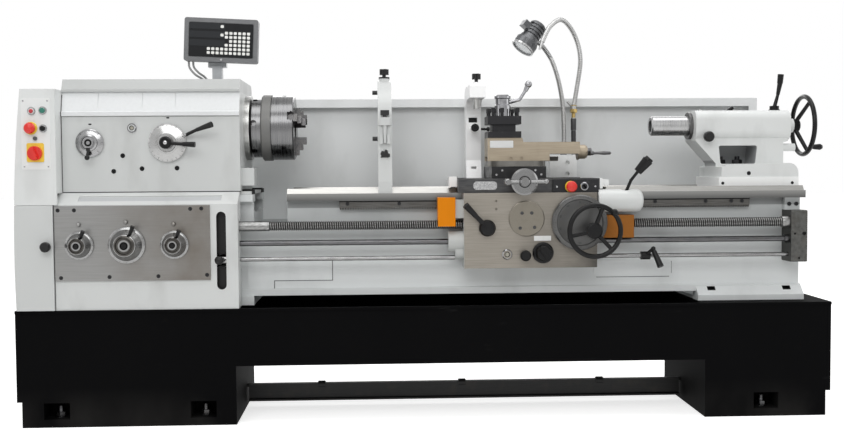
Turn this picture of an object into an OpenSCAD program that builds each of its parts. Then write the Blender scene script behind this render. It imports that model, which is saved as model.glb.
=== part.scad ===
// Manual gap-bed engine lathe, 500 mm swing, on a full-length stand.
// X runs along the spindle towards the tailstock, Y to the back, Z up.
// The origin is on the floor, at the centre of the four outer anchor holes,
// and the spindle axis lies over it in the plane y = 0.

/* [Main sizes] */
// Height of the bed ways over the floor
way_z = 845; // [835:1:855]
// Height of the spindle over the ways
centre_height = 230; // [225:1:240]

/* [Stand] */
// Length of the stand
stand_length = 2950; // [2900:1:3000]
// From the origin to the left end of the stand
stand_left = 1425; // [1415:1:1435]
// Depth of the stand from front to back
stand_depth = 550; // [540:1:570]
// From the spindle plane to the stand front
stand_front = 285; // [280:1:290]
// Height of the tray rim over the floor
rim_z = 420; // [410:1:430]
// Depth of the open chip tray under its rim
tray_depth = 120; // [80:1:160]
// Thickness of the tray walls
tray_wall = 12; // [8:1:20]
// Lower edge of the middle beam over the floor
beam_z = 212; // [190:1:230]
// Height of the plinths
plinth_height = 92; // [80:1:110]
// How far the plinths stand in at the ends
plinth_inset = 18; // [10:1:30]
// Width of the left pedestal
left_pedestal = 778; // [760:1:790]
// Width of the right pedestal
right_pedestal = 467; // [450:1:480]

/* [Anchors] */
// Stand length less the span of its anchor holes
anchor_margin = 380; // [360:1:400]
// Between the front and rear anchor holes
anchor_span_y = 460; // [440:1:480]
// From the left anchor holes to the middle ones
anchor_middle = 520; // [500:1:540]
// Radius of the anchor holes
anchor_r = 11; // [8:0.5:14]
// Width of an anchor pocket
pocket_width = 92; // [80:1:110]
// Height of an anchor pocket
pocket_height = 60; // [45:1:62]
// Thickness of the foot plate
foot_plate = 28; // [20:1:32]

/* [Foot brake] */
// Radius of the brake shaft
brake_shaft_r = 7; // [6:0.5:9]
// Height of the brake shaft over the floor
brake_shaft_z = 76; // [70:1:84]
// From the spindle plane back to the brake shaft
brake_shaft_y = 45; // [30:1:60]
// Height of the treadle plate
treadle_height = 50; // [40:1:56]
// Thickness of the treadle plate
treadle_thick = 6; // [4:0.5:8]

/* [Bed] */
// Width of the bed over its rails
bed_width = 400; // [396:1:404]
// Right end of the bed
bed_right = 1460; // [1455:1:1468]
// Height of a bed rail under its way
rail_height = 27; // [25:1:30]
// Width of a bed rail
rail_width = 84; // [80:1:90]
// Height of the way prisms
vee_height = 18; // [15:1:20]
// Thickness of the bed side walls
web_thick = 22; // [18:1:26]
// Set-back of the side walls from the rails
web_inset = 30; // [28:1:34]
// Gap under the bed between its feet
bed_clearance = 33; // [28:1:38]
// Length of the right foot of the bed
foot_length = 399; // [390:1:405]
// Number of cross ribs right of the gap
rib_count = 8; // [4:1:12]
// Thickness of a cross rib
rib_thick = 16; // [12:1:22]

/* [Gap] */
// Left side of the gap in the bed
gap_left = -590; // [-592:1:-586]
// Width of the gap
gap_width = 124; // [110:1:140]
// Depth of the gap under the ways
gap_depth = 125; // [115:1:130]

/* [Rack] */
// Tooth module of the rack
rack_module = 3; // [2.5:0.5:4]
// Left end of the rack
rack_left = -275; // [-280:1:-265]
// Number of rack teeth
rack_teeth = 162; // [150:1:164]
// Height of the rack bar
rack_height = 33; // [30:1:34]
// Thickness of the rack bar
rack_thick = 22; // [18:1:24]

/* [Headstock] */
// Left end of the headstock
head_left = -1266; // [-1270:1:-1264]
// Length of the headstock
head_length = 636; // [634:1:638]
// From the spindle plane to the headstock front
head_front = 225; // [222:1:228]
// From the spindle plane to the headstock back
head_back = 165; // [160:1:170]
// Top of the casting over the spindle axis
head_rise = 125; // [120:1:130]
// Thickness of the headstock lid
lid_height = 46; // [40:1:52]
// Radius of the spindle body in its bearings
spindle_r = 64; // [60:1:68]
// Radius of the bore through the spindle
spindle_bore_r = 41; // [36:0.5:43]
// Radius of the camlock nose
nose_r = 112; // [108:1:116]
// Length of the camlock nose
nose_length = 42; // [38:1:48]
// Radius of the bearing cover behind the nose
cover_r = 122; // [118:1:126]
// Thickness of the bearing cover
cover_thick = 20; // [16:1:24]

/* [Chuck] */
// Radius of the three-jaw chuck
chuck_r = 125; // [120:1:128]
// Thickness of the chuck body
chuck_thick = 84; // [78:1:90]
// Thickness of the chuck back plate
back_plate = 38; // [34:1:42]
// Radius of the hole through the chuck
chuck_bore_r = 43; // [41:0.5:46]
// Width of a jaw
jaw_width = 30; // [26:1:34]
// Height of a jaw over the chuck face
jaw_height = 42; // [38:1:46]
// Distance of the jaw tips from the axis
jaw_inner = 38; // [34:1:46]

/* [Feed gearbox] */
// Height of the gearbox front over the floor
box_top = 795; // [790:1:800]
// Left end of the gearbox
box_left = -1282; // [-1284:1:-1280]
// Length of the gearbox
box_length = 648; // [646:1:652]
// Thickness of the steel front plate
front_plate = 6; // [4:0.5:8]
// Width of the lever slot
slot_width = 34; // [30:1:36]
// Radius of a small feed dial
feed_dial_r = 50; // [44:1:54]
// Radius of the middle feed dial
mid_dial_r = 65; // [58:1:68]
// How far the feed dials stand out
dial_rise = 48; // [40:1:54]

/* [Covers] */
// How far the end covers stand in front of the gearbox
end_step = 10; // [8:1:12]
// Top of the upper end cover over the floor
end_top = 1205; // [1200:1:1215]
// Width of the end covers
end_width = 127; // [120:1:135]
// How far the left side bows out
end_bow = 18; // [10:1:18]

/* [Rods] */
// From the spindle plane to the rods in front
rod_front = 233; // [231:1:235]
// Radius of the lead screw
lead_r = 17.5; // [16:0.5:18.5]
// Depth of the lead screw under the ways
lead_drop = 133; // [130:1:136]
// Radius of the feed rod
feed_r = 10.5; // [9:0.5:12]
// Depth of the feed rod under the ways
feed_drop = 195; // [190:1:200]
// Radius of the control rod
control_r = 8; // [7:0.5:9]
// Depth of the control rod under the ways
control_drop = 253; // [248:1:258]
// From the bed end back to the rod bracket
bracket_inset = 78; // [74:1:82]
// Length of the rod bracket
bracket_length = 60; // [56:1:64]

/* [Splash guard] */
// Thickness of the splash guard sheet
guard_sheet = 4; // [3:0.5:6]
// Left end of the splash guard
guard_left = -660; // [-670:1:-645]
// Right end of the splash guard
guard_right = 1428; // [1420:1:1440]
// Top of the splash guard
guard_top = 1198; // [1190:1:1210]
// Depth of its folded top
guard_fold = 36; // [30:1:38]
// Height of its folded lip
guard_lip = 33; // [28:1:38]

/* [Carriage] */
// Left end of the saddle
saddle_left = 157; // [155:1:160]
// Length of the saddle
saddle_length = 526; // [520:1:530]
// Height of the saddle over the ways
saddle_height = 33; // [30:1:36]
// Left end of the apron
apron_left = 176; // [174:1:178]
// Length of the apron
apron_length = 483; // [480:1:484]
// Height of the apron
apron_height = 272; // [262:1:280]
// Radius of the apron handwheel
wheel_r = 99; // [92:1:104]
// How far the handwheel stands in front of the apron
wheel_reach = 110; // [100:1:120]
// Radius of the graduated carriage dial
ring_r = 100; // [94:1:102]

/* [Slides] */
// Width of the cross slide
cross_width = 204; // [198:1:208]
// Length of the cross slide
cross_length = 290; // [280:1:300]
// Height of the cross slide
cross_height = 44; // [42:1:46]
// Radius of the swivel base
swivel_r = 114; // [108:1:118]
// Height of the swivel base
swivel_height = 21; // [18:1:24]
// Length of the compound slide
slide_length = 350; // [340:1:360]
// Width of the compound slide
slide_width = 116; // [106:1:120]
// Height of the compound slide
slide_height = 87; // [84:1:90]
// Side of the square tool post
post_side = 126; // [120:1:130]
// Height of the tool post
post_height = 82; // [76:1:86]

/* [Tailstock] */
// Left end of the tailstock base
tail_left = 1150; // [1145:1:1156]
// Length of the tailstock base
tail_length = 306; // [300:1:310]
// Height of the tailstock base over the ways
tail_base_height = 32; // [28:1:36]
// Radius of the quill
quill_r = 37.5; // [34:0.5:40]
// How far the quill stands out
quill_out = 160; // [150:1:162]
// Radius of the tailstock barrel
barrel_r = 57; // [54:1:60]
// Radius of the tailstock handwheel
tail_wheel_r = 121; // [115:1:125]

/* [Steady rest] */
// Left side of the steady rest
steady_left = -131; // [-150:1:-120]
// Thickness of the steady rest
steady_thick = 51; // [48:1:56]
// Outer radius of the steady rest ring
steady_r = 180; // [175:1:185]
// Inner radius of the steady rest ring
steady_inner_r = 112; // [105:1:118]

/* [Readout] */
// Width of the digital readout housing
dro_width = 276; // [270:1:282]
// Height of the digital readout housing
dro_height = 163; // [158:1:168]
// Depth of the digital readout housing
dro_depth = 42; // [36:1:50]
// Tilt of the readout housing
dro_tilt = 2.5; // [0:0.5:4]

/* [Hidden] */ $fn = 48;
// Running gap between moving pieces
gap = 0.4;
// Gap of a shaft in its bore
fit = 0.15;

axis_z = way_z + centre_height;
stand_back = stand_depth - stand_front;
stand_right = stand_length - stand_left;
left_inner = left_pedestal - stand_left;
right_inner = stand_right - right_pedestal;
tray_floor = rim_z - tray_depth;
foot_right = bed_right - 8;
tray_right = foot_right - foot_length - 10;
anchor_span_x = stand_length - anchor_margin;
anchor_x = [-anchor_span_x / 2, anchor_middle - anchor_span_x / 2, anchor_span_x / 2];
treadle_gap = 6;

bed_half = bed_width / 2;
web_out = bed_half - web_inset;
web_in = web_out - web_thick;
flat_z = way_z - vee_height;
rail_bottom = flat_z - rail_height;
bed_bottom = rim_z + bed_clearance;
gap_right = gap_left + gap_width;
gap_z = way_z - gap_depth;
vee_half = 16;
vee_top = 3;
vee_in = 32;
flange_height = 24;

head_right = head_left + head_length;
head_bottom = way_z - 8;
head_top = axis_z + head_rise;
lid_top = head_top + lid_height;
nose_face = head_right + cover_thick + nose_length;
chuck_back_x = nose_face;
chuck_mid_x = chuck_back_x + back_plate;
chuck_face = chuck_mid_x + chuck_thick;
jaw_turns = [20, 140, 260];
jaw_sink = 22;

box_right = box_left + box_length;
box_front = stand_front;
plate_right = box_right - 98;
plate_bottom = box_top - 270;
slot_x = box_right - 59;
dial_z = box_top - 143;
dial_x = [box_left + 91, box_left + 257, box_left + 425];

end_front = stand_front + end_step;
end_right = box_left + 2;
end_left = end_right - end_width;
switch_x = end_left + 78;

lead_z = way_z - lead_drop;
feed_z = way_z - feed_drop;
control_z = way_z - control_drop;
bracket_left = bed_right - bracket_inset;
rod_end = bracket_left + bracket_length;
guard_back = stand_back;

saddle_right = saddle_left + saddle_length;
saddle_top = way_z + saddle_height;
saddle_front = 265;
saddle_back = 215;
apron_top = flat_z;
apron_front = stand_front;
apron_back = bed_half + 5;
apron_bottom = apron_top - apron_height;
apron_right = apron_left + apron_length;
half_nut_x = apron_left + 83;
half_nut_z = apron_top - 126;
wheel_x = apron_left + 454;
wheel_z = apron_top - 134;
ring_x = apron_left + 417;
ring_z = apron_top - 108;
feed_knob_x = apron_left + 285;
feed_knob_z = apron_bottom + 55;
panel_x = [saddle_left + 343, saddle_left + 509];
stick_x = saddle_left + 608;
stick_y = -(saddle_front - 3);
stick_z = apron_top - 31;
stick_r = 41;
lever_x = saddle_left + 690;

pivot_x = saddle_left + 236;
pivot_y = -45;
cross_front = -150;
cross_top = saddle_top + cross_height;
swivel_top = cross_top + swivel_height;
slide_left = pivot_x - 112;
slide_right = slide_left + slide_length;
slide_top = swivel_top + slide_height;
crank_z = swivel_top + 34;
post_x = slide_left + post_side / 2 + 1;
post_top = slide_top + post_height;
ball_x = pivot_x - 5;
ball_z = saddle_top - 11;
ball_y = -(saddle_front + 60);

follow_x = [saddle_left + 62, saddle_left + 122];
follow_front = 130;
follow_back = 200;
follow_top = axis_z + 160;
finger_r = 11;

// Bracket of the work lamp and the coolant hose
mast_left = saddle_left + 404;
mast_y = 190;
mast_top = saddle_top + 90;

tail_right = tail_left + tail_length;
tail_base_top = way_z + tail_base_height;
tail_half = 128;
barrel_left = tail_left - 68;
barrel_right = tail_left + 299;
quill_left = barrel_left - quill_out + 3;
quill_right = quill_left + 340;
quill_step = quill_left + 200;
tail_hub = barrel_right + 36;

steady_right = steady_left + steady_thick;
steady_hinge = steady_r - 8;
finger_turns = [90, 210, 330];

dro_x = head_right - 88;
dro_z = lid_top + 158;
dro_y = -20;

paint = [0.86, 0.87, 0.87];
stand_black = [0.07, 0.07, 0.075];
steel = [0.72, 0.72, 0.72];
dark_steel = [0.35, 0.35, 0.36];
black = [0.1, 0.1, 0.1];
ground_iron = [0.66, 0.62, 0.55];
orange = [0.9, 0.56, 0.1];
red = [0.86, 0.15, 0.13];

// ---- building blocks -------------------------------------------------

// A box between two opposite corners
module block(low, high) translate(low) cube(high - low);

// A section drawn in (y, z), drawn out from x0 to x1
module along_x(x0, x1) translate([x0, 0, 0]) rotate([90, 0, 90]) linear_extrude(x1 - x0) children();

// A section drawn in (x, z), drawn out from y0 to y1
module along_y(y0, y1) translate([0, y1, 0]) rotate([90, 0, 0]) linear_extrude(y1 - y0) children();

// A section drawn in (x, y), drawn out from z0 to z1
module along_z(z0, z1) translate([0, 0, z0]) linear_extrude(z1 - z0) children();

module rod_x(x0, x1, r, y, z) translate([x0, y, z]) rotate([0, 90, 0]) cylinder(h = x1 - x0, r = r);
module rod_y(y0, y1, r, x, z) translate([x, y1, z]) rotate([90, 0, 0]) cylinder(h = y1 - y0, r = r);
module rod_z(z0, z1, r, x, y) translate([x, y, z0]) cylinder(h = z1 - z0, r = r);

// Turns a piece drawn upright so that its top faces the operator
module to_front(x, y, z) translate([x, y, z]) rotate([90, 0, 0]) children();

// Turns a piece drawn upright so that its top faces the tailstock
module to_right(x, y, z) translate([x, y, z]) rotate([0, 90, 0]) children();

// A round bar from p to q, r0 thick at p and r1 at q
module link(p, q, r0, r1) {
  run = q - p;
  length = norm(run);
  translate(p) rotate([0, acos(run.z / length), atan2(run.y, run.x)])
    cylinder(h = length, r1 = r0, r2 = r1);
}

// A section drawn in (radius, height), turned about Z
module turned(section) rotate_extrude() polygon(section);

// Outline of a rectangle with round corners, centred on the origin
function round_box(w, h, r, steps = 5) = [
  for (c = [[w / 2 - r, h / 2 - r, 0], [r - w / 2, h / 2 - r, 90],
       [r - w / 2, r - h / 2, 180], [w / 2 - r, r - h / 2, 270]]) for (i = [0:steps])
      [c[0] + r * cos(c[2] + 90 * i / steps), c[1] + r * sin(c[2] + 90 * i / steps)]];

// The same outline between two corners
module round_rect(low, high, r) translate((low + high) / 2)
  polygon(round_box(high.x - low.x, high.y - low.y, r));

// Points on an arc about c
function arc(c, r, a0, a1, steps = 12) =
  [for (i = [0:steps]) c + r * [cos(a0 + (a1 - a0) * i / steps), sin(a0 + (a1 - a0) * i / steps)]];

// A smooth route through a few points
function spline(p, steps) = [for (i = [0:len(p) - 2]) for (k = [0:steps - 1])
    let (a = p[max(i - 1, 0)], b = p[i], c = p[i + 1], d = p[min(i + 2, len(p) - 1)], t = k / steps)
      0.5 * (2 * b + (c - a) * t + (2 * a - 5 * b + 4 * c - d) * t * t
        + (3 * b - a - 3 * c + d) * t * t * t), p[len(p) - 1]];

// A round tube swept along a route that never runs along Y
module swept(route, r, sides = 10) {
  last = len(route) - 1;
  rings = [for (i = [0:last]) let (t = route[min(i + 1, last)] - route[max(i - 1, 0)], way = t / norm(t),
       u = cross(way, [0, 1, 0]), side = u / norm(u), up = cross(side, way)) for (k = [0:sides - 1])
        route[i] + r * (cos(360 * k / sides) * side + sin(360 * k / sides) * up)];
  walls = [for (i = [0:last - 1]) for (k = [0:sides - 1]) let (n = (k + 1) % sides)
      [i * sides + n, (i + 1) * sides + n, (i + 1) * sides + k, i * sides + k]];
  polyhedron(rings, concat(walls, [[for (k = [sides - 1:-1:0]) k]],
    [[for (k = [0:sides - 1]) last * sides + k]]));
}

// A knob with a waist, drawn upright on the origin
module knob(r, h) turned([[0, 0], [r * 0.5, 0], [r * 0.5, h * 0.35],
  [r, h * 0.5], [r, h * 0.85], [r * 0.8, h], [0, h]]);

// A star knob with five lobes, drawn upright on the origin
module star_knob(r, h) {
  cylinder(h = h * 0.5, r = r * 0.4);
  translate([0, 0, h * 0.4]) difference() {
    cylinder(h = h * 0.6, r = r);
    for (a = [36:72:324]) rotate(a) translate([r * 1.12, 0, -1]) cylinder(h = h, r = r * 0.36);
  }
}

// Outline of the front rail as (y, z), grown by a gap
function front_rail(g) = [[-bed_half, rail_bottom], [-bed_half, flat_z + g],
  [vee_in - vee_half - bed_half - g, flat_z + g], [vee_in - vee_top - bed_half, way_z + g],
  [vee_in + vee_top - bed_half, way_z + g], [vee_in + vee_half - bed_half + g, flat_z + g],
  [rail_width - 28 - bed_half, flat_z + g], [rail_width - 28 - bed_half, way_z - 3 + g],
  [rail_width - bed_half, way_z - 3 + g], [rail_width - bed_half, rail_bottom]];

// Outline of the rear rail
function rear_rail(g) = [[bed_half, rail_bottom], [bed_half, way_z - 3 + g],
  [bed_half - 38, way_z - 3 + g], [bed_half - 38, flat_z + g],
  [bed_half - rail_width + 34 + g, flat_z + g],
  [bed_half - rail_width + 21, way_z + g], [bed_half - rail_width + 15, way_z + g],
  [bed_half - rail_width + 2 - g, flat_z + g],
  [bed_half - rail_width, flat_z + g], [bed_half - rail_width, rail_bottom]];

// Room for both rails, cut from whatever rides on the ways
module ways_room(x0, x1, g) {
  along_x(x0, x1) polygon(front_rail(g));
  along_x(x0, x1) polygon(rear_rail(g));
}

// ---- stand and bed ---------------------------------------------------

module base() color(stand_black) difference() {
  union() {
    block([-stand_left, -stand_front, plinth_height], [left_inner, stand_back, rim_z]);
    block([plinth_inset - stand_left, -stand_front, 0], [left_inner, stand_back, plinth_height]);
    block([right_inner, -stand_front, plinth_height], [stand_right, stand_back, rim_z]);
    block([right_inner, -stand_front, 0], [stand_right - plinth_inset, stand_back, plinth_height]);
    block([left_inner, -stand_front, beam_z], [right_inner, stand_back, rim_z]);
    // folded rim round the tray
    block([-stand_left, -stand_front - 4, rim_z - 10], [stand_right, -stand_front, rim_z]);
  }
  block([left_inner + 10, tray_wall - stand_front, tray_floor],
    [tray_right, stand_back - tray_wall, rim_z + 1]);
  for (x = anchor_x) for (side = [-1, 1]) {
    block([x - pocket_width / 2, side < 0 ? -stand_front - 1 : stand_back - 95, foot_plate],
      [x + pocket_width / 2, side < 0 ? 95 - stand_front : stand_back + 1, foot_plate + pocket_height]);
    rod_z(-1, foot_plate + 1, anchor_r, x, side * anchor_span_y / 2);
  }
  // sockets for the brake shaft
  rod_x(left_inner - 16, left_inner + 1, brake_shaft_r + fit, brake_shaft_y, brake_shaft_z);
  rod_x(right_inner - 1, right_inner + 16, brake_shaft_r + fit, brake_shaft_y, brake_shaft_z);
  // seam and louvres of the rear motor door
  along_y(stand_back - 2, stand_back + 1) difference() {
    round_rect([60 - stand_left, 110], [left_inner - 60, rim_z - 60], 12);
    round_rect([63 - stand_left, 113], [left_inner - 63, rim_z - 63], 11);
  }
  for (i = [0:5]) along_y(stand_back - 6, stand_back + 1)
    round_rect([200 - stand_left, 170 + 24 * i], [340 - stand_left, 178 + 24 * i], 3.9);
  for (i = [0:5]) along_y(stand_back - 6, stand_back + 1)
    round_rect([right_inner + 130, 190 + 24 * i], [right_inner + 320, 198 + 24 * i], 3.9);
}

module brake_treadle() color(dark_steel) {
  treadle_left = left_inner + treadle_gap;
  treadle_right = right_inner - treadle_gap;
  rod_x(left_inner - 14, right_inner + 14, brake_shaft_r, brake_shaft_y, brake_shaft_z);
  difference() {
    union() {
      along_x(treadle_left, treadle_right) translate([brake_shaft_y, brake_shaft_z])
        polygon([[-treadle_thick - 4, 6], [-treadle_thick - 4, -treadle_height],
          [-24, -treadle_height - 3], [-24, -treadle_height - 9],
          [-4, -treadle_height - 6], [-4, 2], [14, 2], [14, 6]]);
      for (x = [-358, 191, 736]) rod_x(x - 14, x + 14, brake_shaft_r + 7, brake_shaft_y, brake_shaft_z);
    }
    rod_x(treadle_left - 1, treadle_right + 1, brake_shaft_r - 0.2, brake_shaft_y, brake_shaft_z);
  }
}

module bed() color(paint) {
  bed_left = head_left + 4;
  difference() {
    union() {
      along_x(bed_left, bed_right) polygon(front_rail(0));
      along_x(bed_left, bed_right) polygon(rear_rail(0));
      for (side = [-1, 1]) {
        // side wall, whose inner half reaches up into its rail
        wall_low = side < 0 ? -web_out : web_in;
        block([bed_left, wall_low, bed_bottom], [bed_right - 13, wall_low + web_thick, rail_bottom + 4]);
        flange_low = side < 0 ? -web_out - 12 : web_in - 20;
        block([bed_left, flange_low, bed_bottom],
          [bed_right - 13, flange_low + web_thick + 32, bed_bottom + flange_height]);
      }
      // ribs and end walls
      for (i = [0:rib_count])
        bed_rib(gap_right + (bed_right - 13 - rib_thick - gap_right) * i / rib_count, rail_bottom);
      for (i = [0:3]) bed_rib(bed_left + (gap_left - rib_thick - bed_left) * i / 3, rail_bottom);
      // feet on the stand
      block([bed_left, -web_out - 24, rim_z], [gap_left, web_out + 24, bed_bottom]);
      along_x(foot_right - foot_length, foot_right) polygon([[-bed_half - 12, rim_z],
        [-bed_half - 12, rim_z + 20], [-web_out - 6, bed_bottom + 22], [-web_in, bed_bottom + 22],
        [-web_in, rim_z + 12], [web_in, rim_z + 12], [web_in, bed_bottom + 22],
        [web_out + 6, bed_bottom + 22], [bed_half + 12, rim_z + 20], [bed_half + 12, rim_z]]);
      // raised panels on the front wall
      along_y(-web_out - 4, -web_out) polygon([[gap_left - 24, bed_bottom + 8],
        [gap_left + 72, bed_bottom + 8], [gap_left + 72, bed_bottom + 55],
        [gap_left + 286, bed_bottom + 55], [gap_left + 286, bed_bottom + 126],
        [gap_left - 24, bed_bottom + 126]]);
      along_y(-web_out - 4, -web_out) round_rect([670, bed_bottom + 56], [962, bed_bottom + 118], 14);
      // pad over the rod bracket
      block([bracket_left - 1, -bed_half, rail_bottom - 45], [rod_end - 4, -web_in, rail_bottom + 1]);
    }
    // the gap, and the way through all the ribs
    block([gap_left, -bed_half - 1, gap_z], [gap_right, bed_half + 1, way_z + 1]);
    rod_x(bed_left + 30, bed_right - 60, 74, 0, bed_bottom + 150);
    // pockets for the hold-down bolts of the right foot
    for (x = [foot_right - 343, foot_right - 58])
      along_y(-bed_half - 13, -web_out + 12) round_rect([x - 15, rim_z + 36], [x + 15, rim_z + 49], 6);
  }
}

// One cross rib between the bed walls, with a saddle-backed top
module bed_rib(x, z_top) along_x(x, x + rib_thick) polygon([[-web_in, bed_bottom],
  [-web_in, z_top - 34], [-60, z_top - 44], [60, z_top - 44], [web_in, z_top - 34], [web_in, bed_bottom]]);

module rack() color(steel) {
  pitch = PI * rack_module;
  tip = rail_bottom - rack_height;
  root = tip + 2.2 * rack_module;
  along_y(-web_out - rack_thick, -web_out) polygon(concat([[rack_left, rail_bottom]],
    [for (i = [0:rack_teeth - 1]) each [
      [rack_left + (i + 0.06) * pitch, root], [rack_left + (i + 0.3) * pitch, tip],
      [rack_left + (i + 0.56) * pitch, tip], [rack_left + (i + 0.8) * pitch, root]]],
    [[rack_left + rack_teeth * pitch, rail_bottom]]));
}

// ---- headstock, gearbox and covers ------------------------------------

module headstock() color(paint) difference() {
  union() {
    along_x(head_left, head_right) polygon([[-head_front, head_bottom],
      [-head_front, axis_z + 35], [-head_front - 6, axis_z + 38],
      [-head_front - 6, axis_z + 52], [-head_front, axis_z + 55],
      [18 - head_front, head_top], [head_back, head_top], [head_back, head_bottom]]);
    block([head_left, -bed_half, flat_z], [gap_left - 4, head_back, head_bottom + 1]);
    // clamping lug over the end of the bed
    block([head_right - 1, -bed_half + 10, head_bottom + 22], [gap_left + 6, -70, head_bottom + 86]);
    rod_x(head_right - 1, head_right + cover_thick, cover_r, 0, axis_z);
    // oil sight glass
    to_front(head_left + 252, -head_front, axis_z - 6) sight_glass(16);
  }
  ways_room(head_left - 1, head_right + 100, 0);
  rod_x(head_left - 1, head_right + cover_thick + 1, spindle_r + gap, 0, axis_z);
  // seams of the front band
  for (x = [131, 289, 407]) translate([head_left + x, 0, 0])
    along_x(-1, 1) polygon([[-head_front - 1, axis_z + 62], [16 - head_front, head_top - 5],
      [20 - head_front, head_top - 5], [3 - head_front, axis_z + 62]]);
  // plugged bores on the front
  for (p = [[217, -105], [184, -161], [285, -152], [410, -151]])
    rod_y(-head_front - 1, 10 - head_front, 8.5, head_left + p.x, axis_z + p.y);
  // spindles of the front dials
  rod_y(-head_front - 1, 40 - head_front, 12 + fit, head_left + 102, axis_z - 59);
  rod_y(-head_front - 1, 40 - head_front, 14 + fit, head_left + 379, axis_z - 60);
}

module sight_glass(r) turned([[0, -2], [r, -2], [r, 4], [r * 0.8, 7],
  [r * 0.55, 7], [r * 0.5, 3], [0, 3]]);

module headstock_lid() color(paint) difference() {
  along_x(head_left, head_right) polygon(concat([[8 - head_front, head_top],
    [8 - head_front, head_top + 8], [14 - head_front, head_top + 11], [30 - head_front, lid_top]],
    arc([head_back - 30, lid_top - 30], 30, 90, 0, 8), [[head_back, head_top]]));
  block([head_left + 30, 60 - head_front, head_top - 1], [head_right - 30, head_back - 30, head_top + 12]);
}

module feed_gearbox() color(paint) difference() {
  along_x(box_left, box_right) polygon([[-box_front, rim_z], [-box_front, box_top],
    [-head_front, head_bottom], [-bed_half, head_bottom], [-bed_half, rim_z]]);
  // shallow trough in the sloped shelf
  translate([0, -box_front, box_top]) rotate([atan2(head_bottom - box_top, box_front - head_front), 0, 0])
      block([box_left + 80, 22, -3], [box_right - 60, 52, 5]);
  // slot of the control lever, with its well
  along_y(-box_front - 1, 26 - box_front) round_rect([slot_x - slot_width / 2, plate_bottom - 36],
      [slot_x + slot_width / 2, box_top - 27], slot_width / 2 - 0.1);
  rod_x(slot_x - slot_width / 2, slot_x + slot_width / 2, 34, -rod_front, control_z);
  // bores of the three rods
  rod_x(box_right - 30, box_right + 1, lead_r + 4 + fit, -rod_front, lead_z);
  rod_x(box_right - 30, box_right + 1, feed_r + fit, -rod_front, feed_z);
  rod_x(slot_x - 50, box_right + 1, control_r + fit, -rod_front, control_z);
  for (x = dial_x) rod_y(-box_front - 1, 40 - box_front, 12 + fit, x, dial_z);
}

module gearbox_plate() color(steel) {
  difference() {
    block([box_left + 4, -box_front - front_plate, plate_bottom], [plate_right, -box_front, box_top - 3]);
    for (x = dial_x) rod_y(-box_front - front_plate - 1, 1 - box_front, 13, x, dial_z);
    for (p = [[17, 252], [74, 252], [482, 254], [521, 255], [24, 12], [194, 14], [366, 15], [538, 18]])
      rod_y(-box_front - front_plate - 1, -box_front - 2, 6.5, box_left + p.x, plate_bottom + p.y);
  }
  // index pins over the dials
  for (i = [0:2]) to_front(dial_x[i] - 2, -box_front - front_plate + 1, dial_z + (i == 1 ? 82 : 74))
    turned([[0, 0], [7, 0], [8, 6], [6, 11], [0, 13]]);
}

// Bowed left outline of the end covers
function bow(z0, z1) = let (low = rim_z + 1, high = end_top, n = 10)
  [for (i = [0:n]) let (z = z0 + (z1 - z0) * i / n, t = (z - low) / (high - low))
    [end_left + 20 * t - end_bow * 4 * (t + 0.16) * (1 - t) / 1.35, z]];

module end_cover() color(paint) difference() {
  intersection() {
    along_z(box_top + 1, end_top) polygon(concat(
      arc([end_left - end_bow + 10, 14 - end_front], 14, 180, 270, 5),
      [[head_left, -end_front], [head_left, head_back], [end_left - end_bow - 4, head_back]]));
    along_y(-end_front - 1, head_back + 1) polygon(concat(bow(box_top, end_top),
      [[head_left + 20, end_top], [head_left + 20, box_top]]));
  }
  block([box_left, -box_front - 1, box_top - 1], [head_left + 1, head_back + 1, head_bottom]);
  rod_x(end_left - 60, head_left + 1, spindle_r + 6, 0, axis_z);
  rod_y(-end_front - 1, 30 - end_front, 9, switch_x - 6, end_top - 226);
  rod_y(-end_front - 1, 30 - end_front, 8, switch_x - 20, end_top - 138);
}

module gear_cover() color(paint) {
  intersection() {
    along_z(rim_z + 1, box_top) polygon(concat(
      arc([end_left - end_bow + 10, 14 - end_front], 14, 180, 270, 5),
      [[box_left, -end_front], [box_left, head_back], [end_left - end_bow - 4, head_back]]));
    along_y(-end_front - 1, head_back + 1) polygon(concat(bow(rim_z, box_top),
      [[box_left + 20, box_top], [box_left + 20, rim_z]]));
  }
  to_front(box_left - 21, 1 - end_front, dial_z - 3) knob(18, 36);
}

module switch_plate() color([0.92, 0.92, 0.92]) {
  difference() {
    along_y(-end_front - 2, -end_front) round_rect([switch_x - 54, end_top - 283],
      [switch_x + 46, end_top - 32], 5);
    rod_y(-end_front - 3, 1 - end_front, 9, switch_x - 6, end_top - 226);
    rod_y(-end_front - 3, 1 - end_front, 8, switch_x - 20, end_top - 138);
  }
  // lamp, start button, jog button and key lock
  to_front(switch_x - 17, -end_front - 2, end_top - 78) sight_glass(11);
  for (z = [76, 139]) to_front(switch_x + 22, -end_front - 1, end_top - z)
    turned([[0, 0], [12, 0], [12, 6], [9.5, 7], [9.5, 10], [0, 10]]);
  to_front(switch_x - 6, -end_front - 1, end_top - 174) cylinder(h = 4, r = 7);
  // ground plate of the mains switch
  along_y(-end_front - 5, -end_front - 1) difference() {
    round_rect([switch_x - 35, end_top - 257], [switch_x + 25, end_top - 190], 4);
    translate([switch_x - 6, end_top - 226]) circle(r = 9);
  }
}

module mains_switch() color(red) to_front(switch_x - 6, -end_front - 5 - gap, end_top - 226) {
  translate([0, 0, -20]) cylinder(h = 21, r = 7);
  cylinder(h = 12, r = 25);
  translate([0, 0, 11]) rotate(20) linear_extrude(16) polygon(round_box(13, 46, 6));
}

module stop_button() color(red) to_front(switch_x - 20, -end_front - 2, end_top - 138) turned([[0,
  -18], [7, -18], [7, 14], [18, 14], [20, 19], [16, 25], [0, 28]]);

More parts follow.
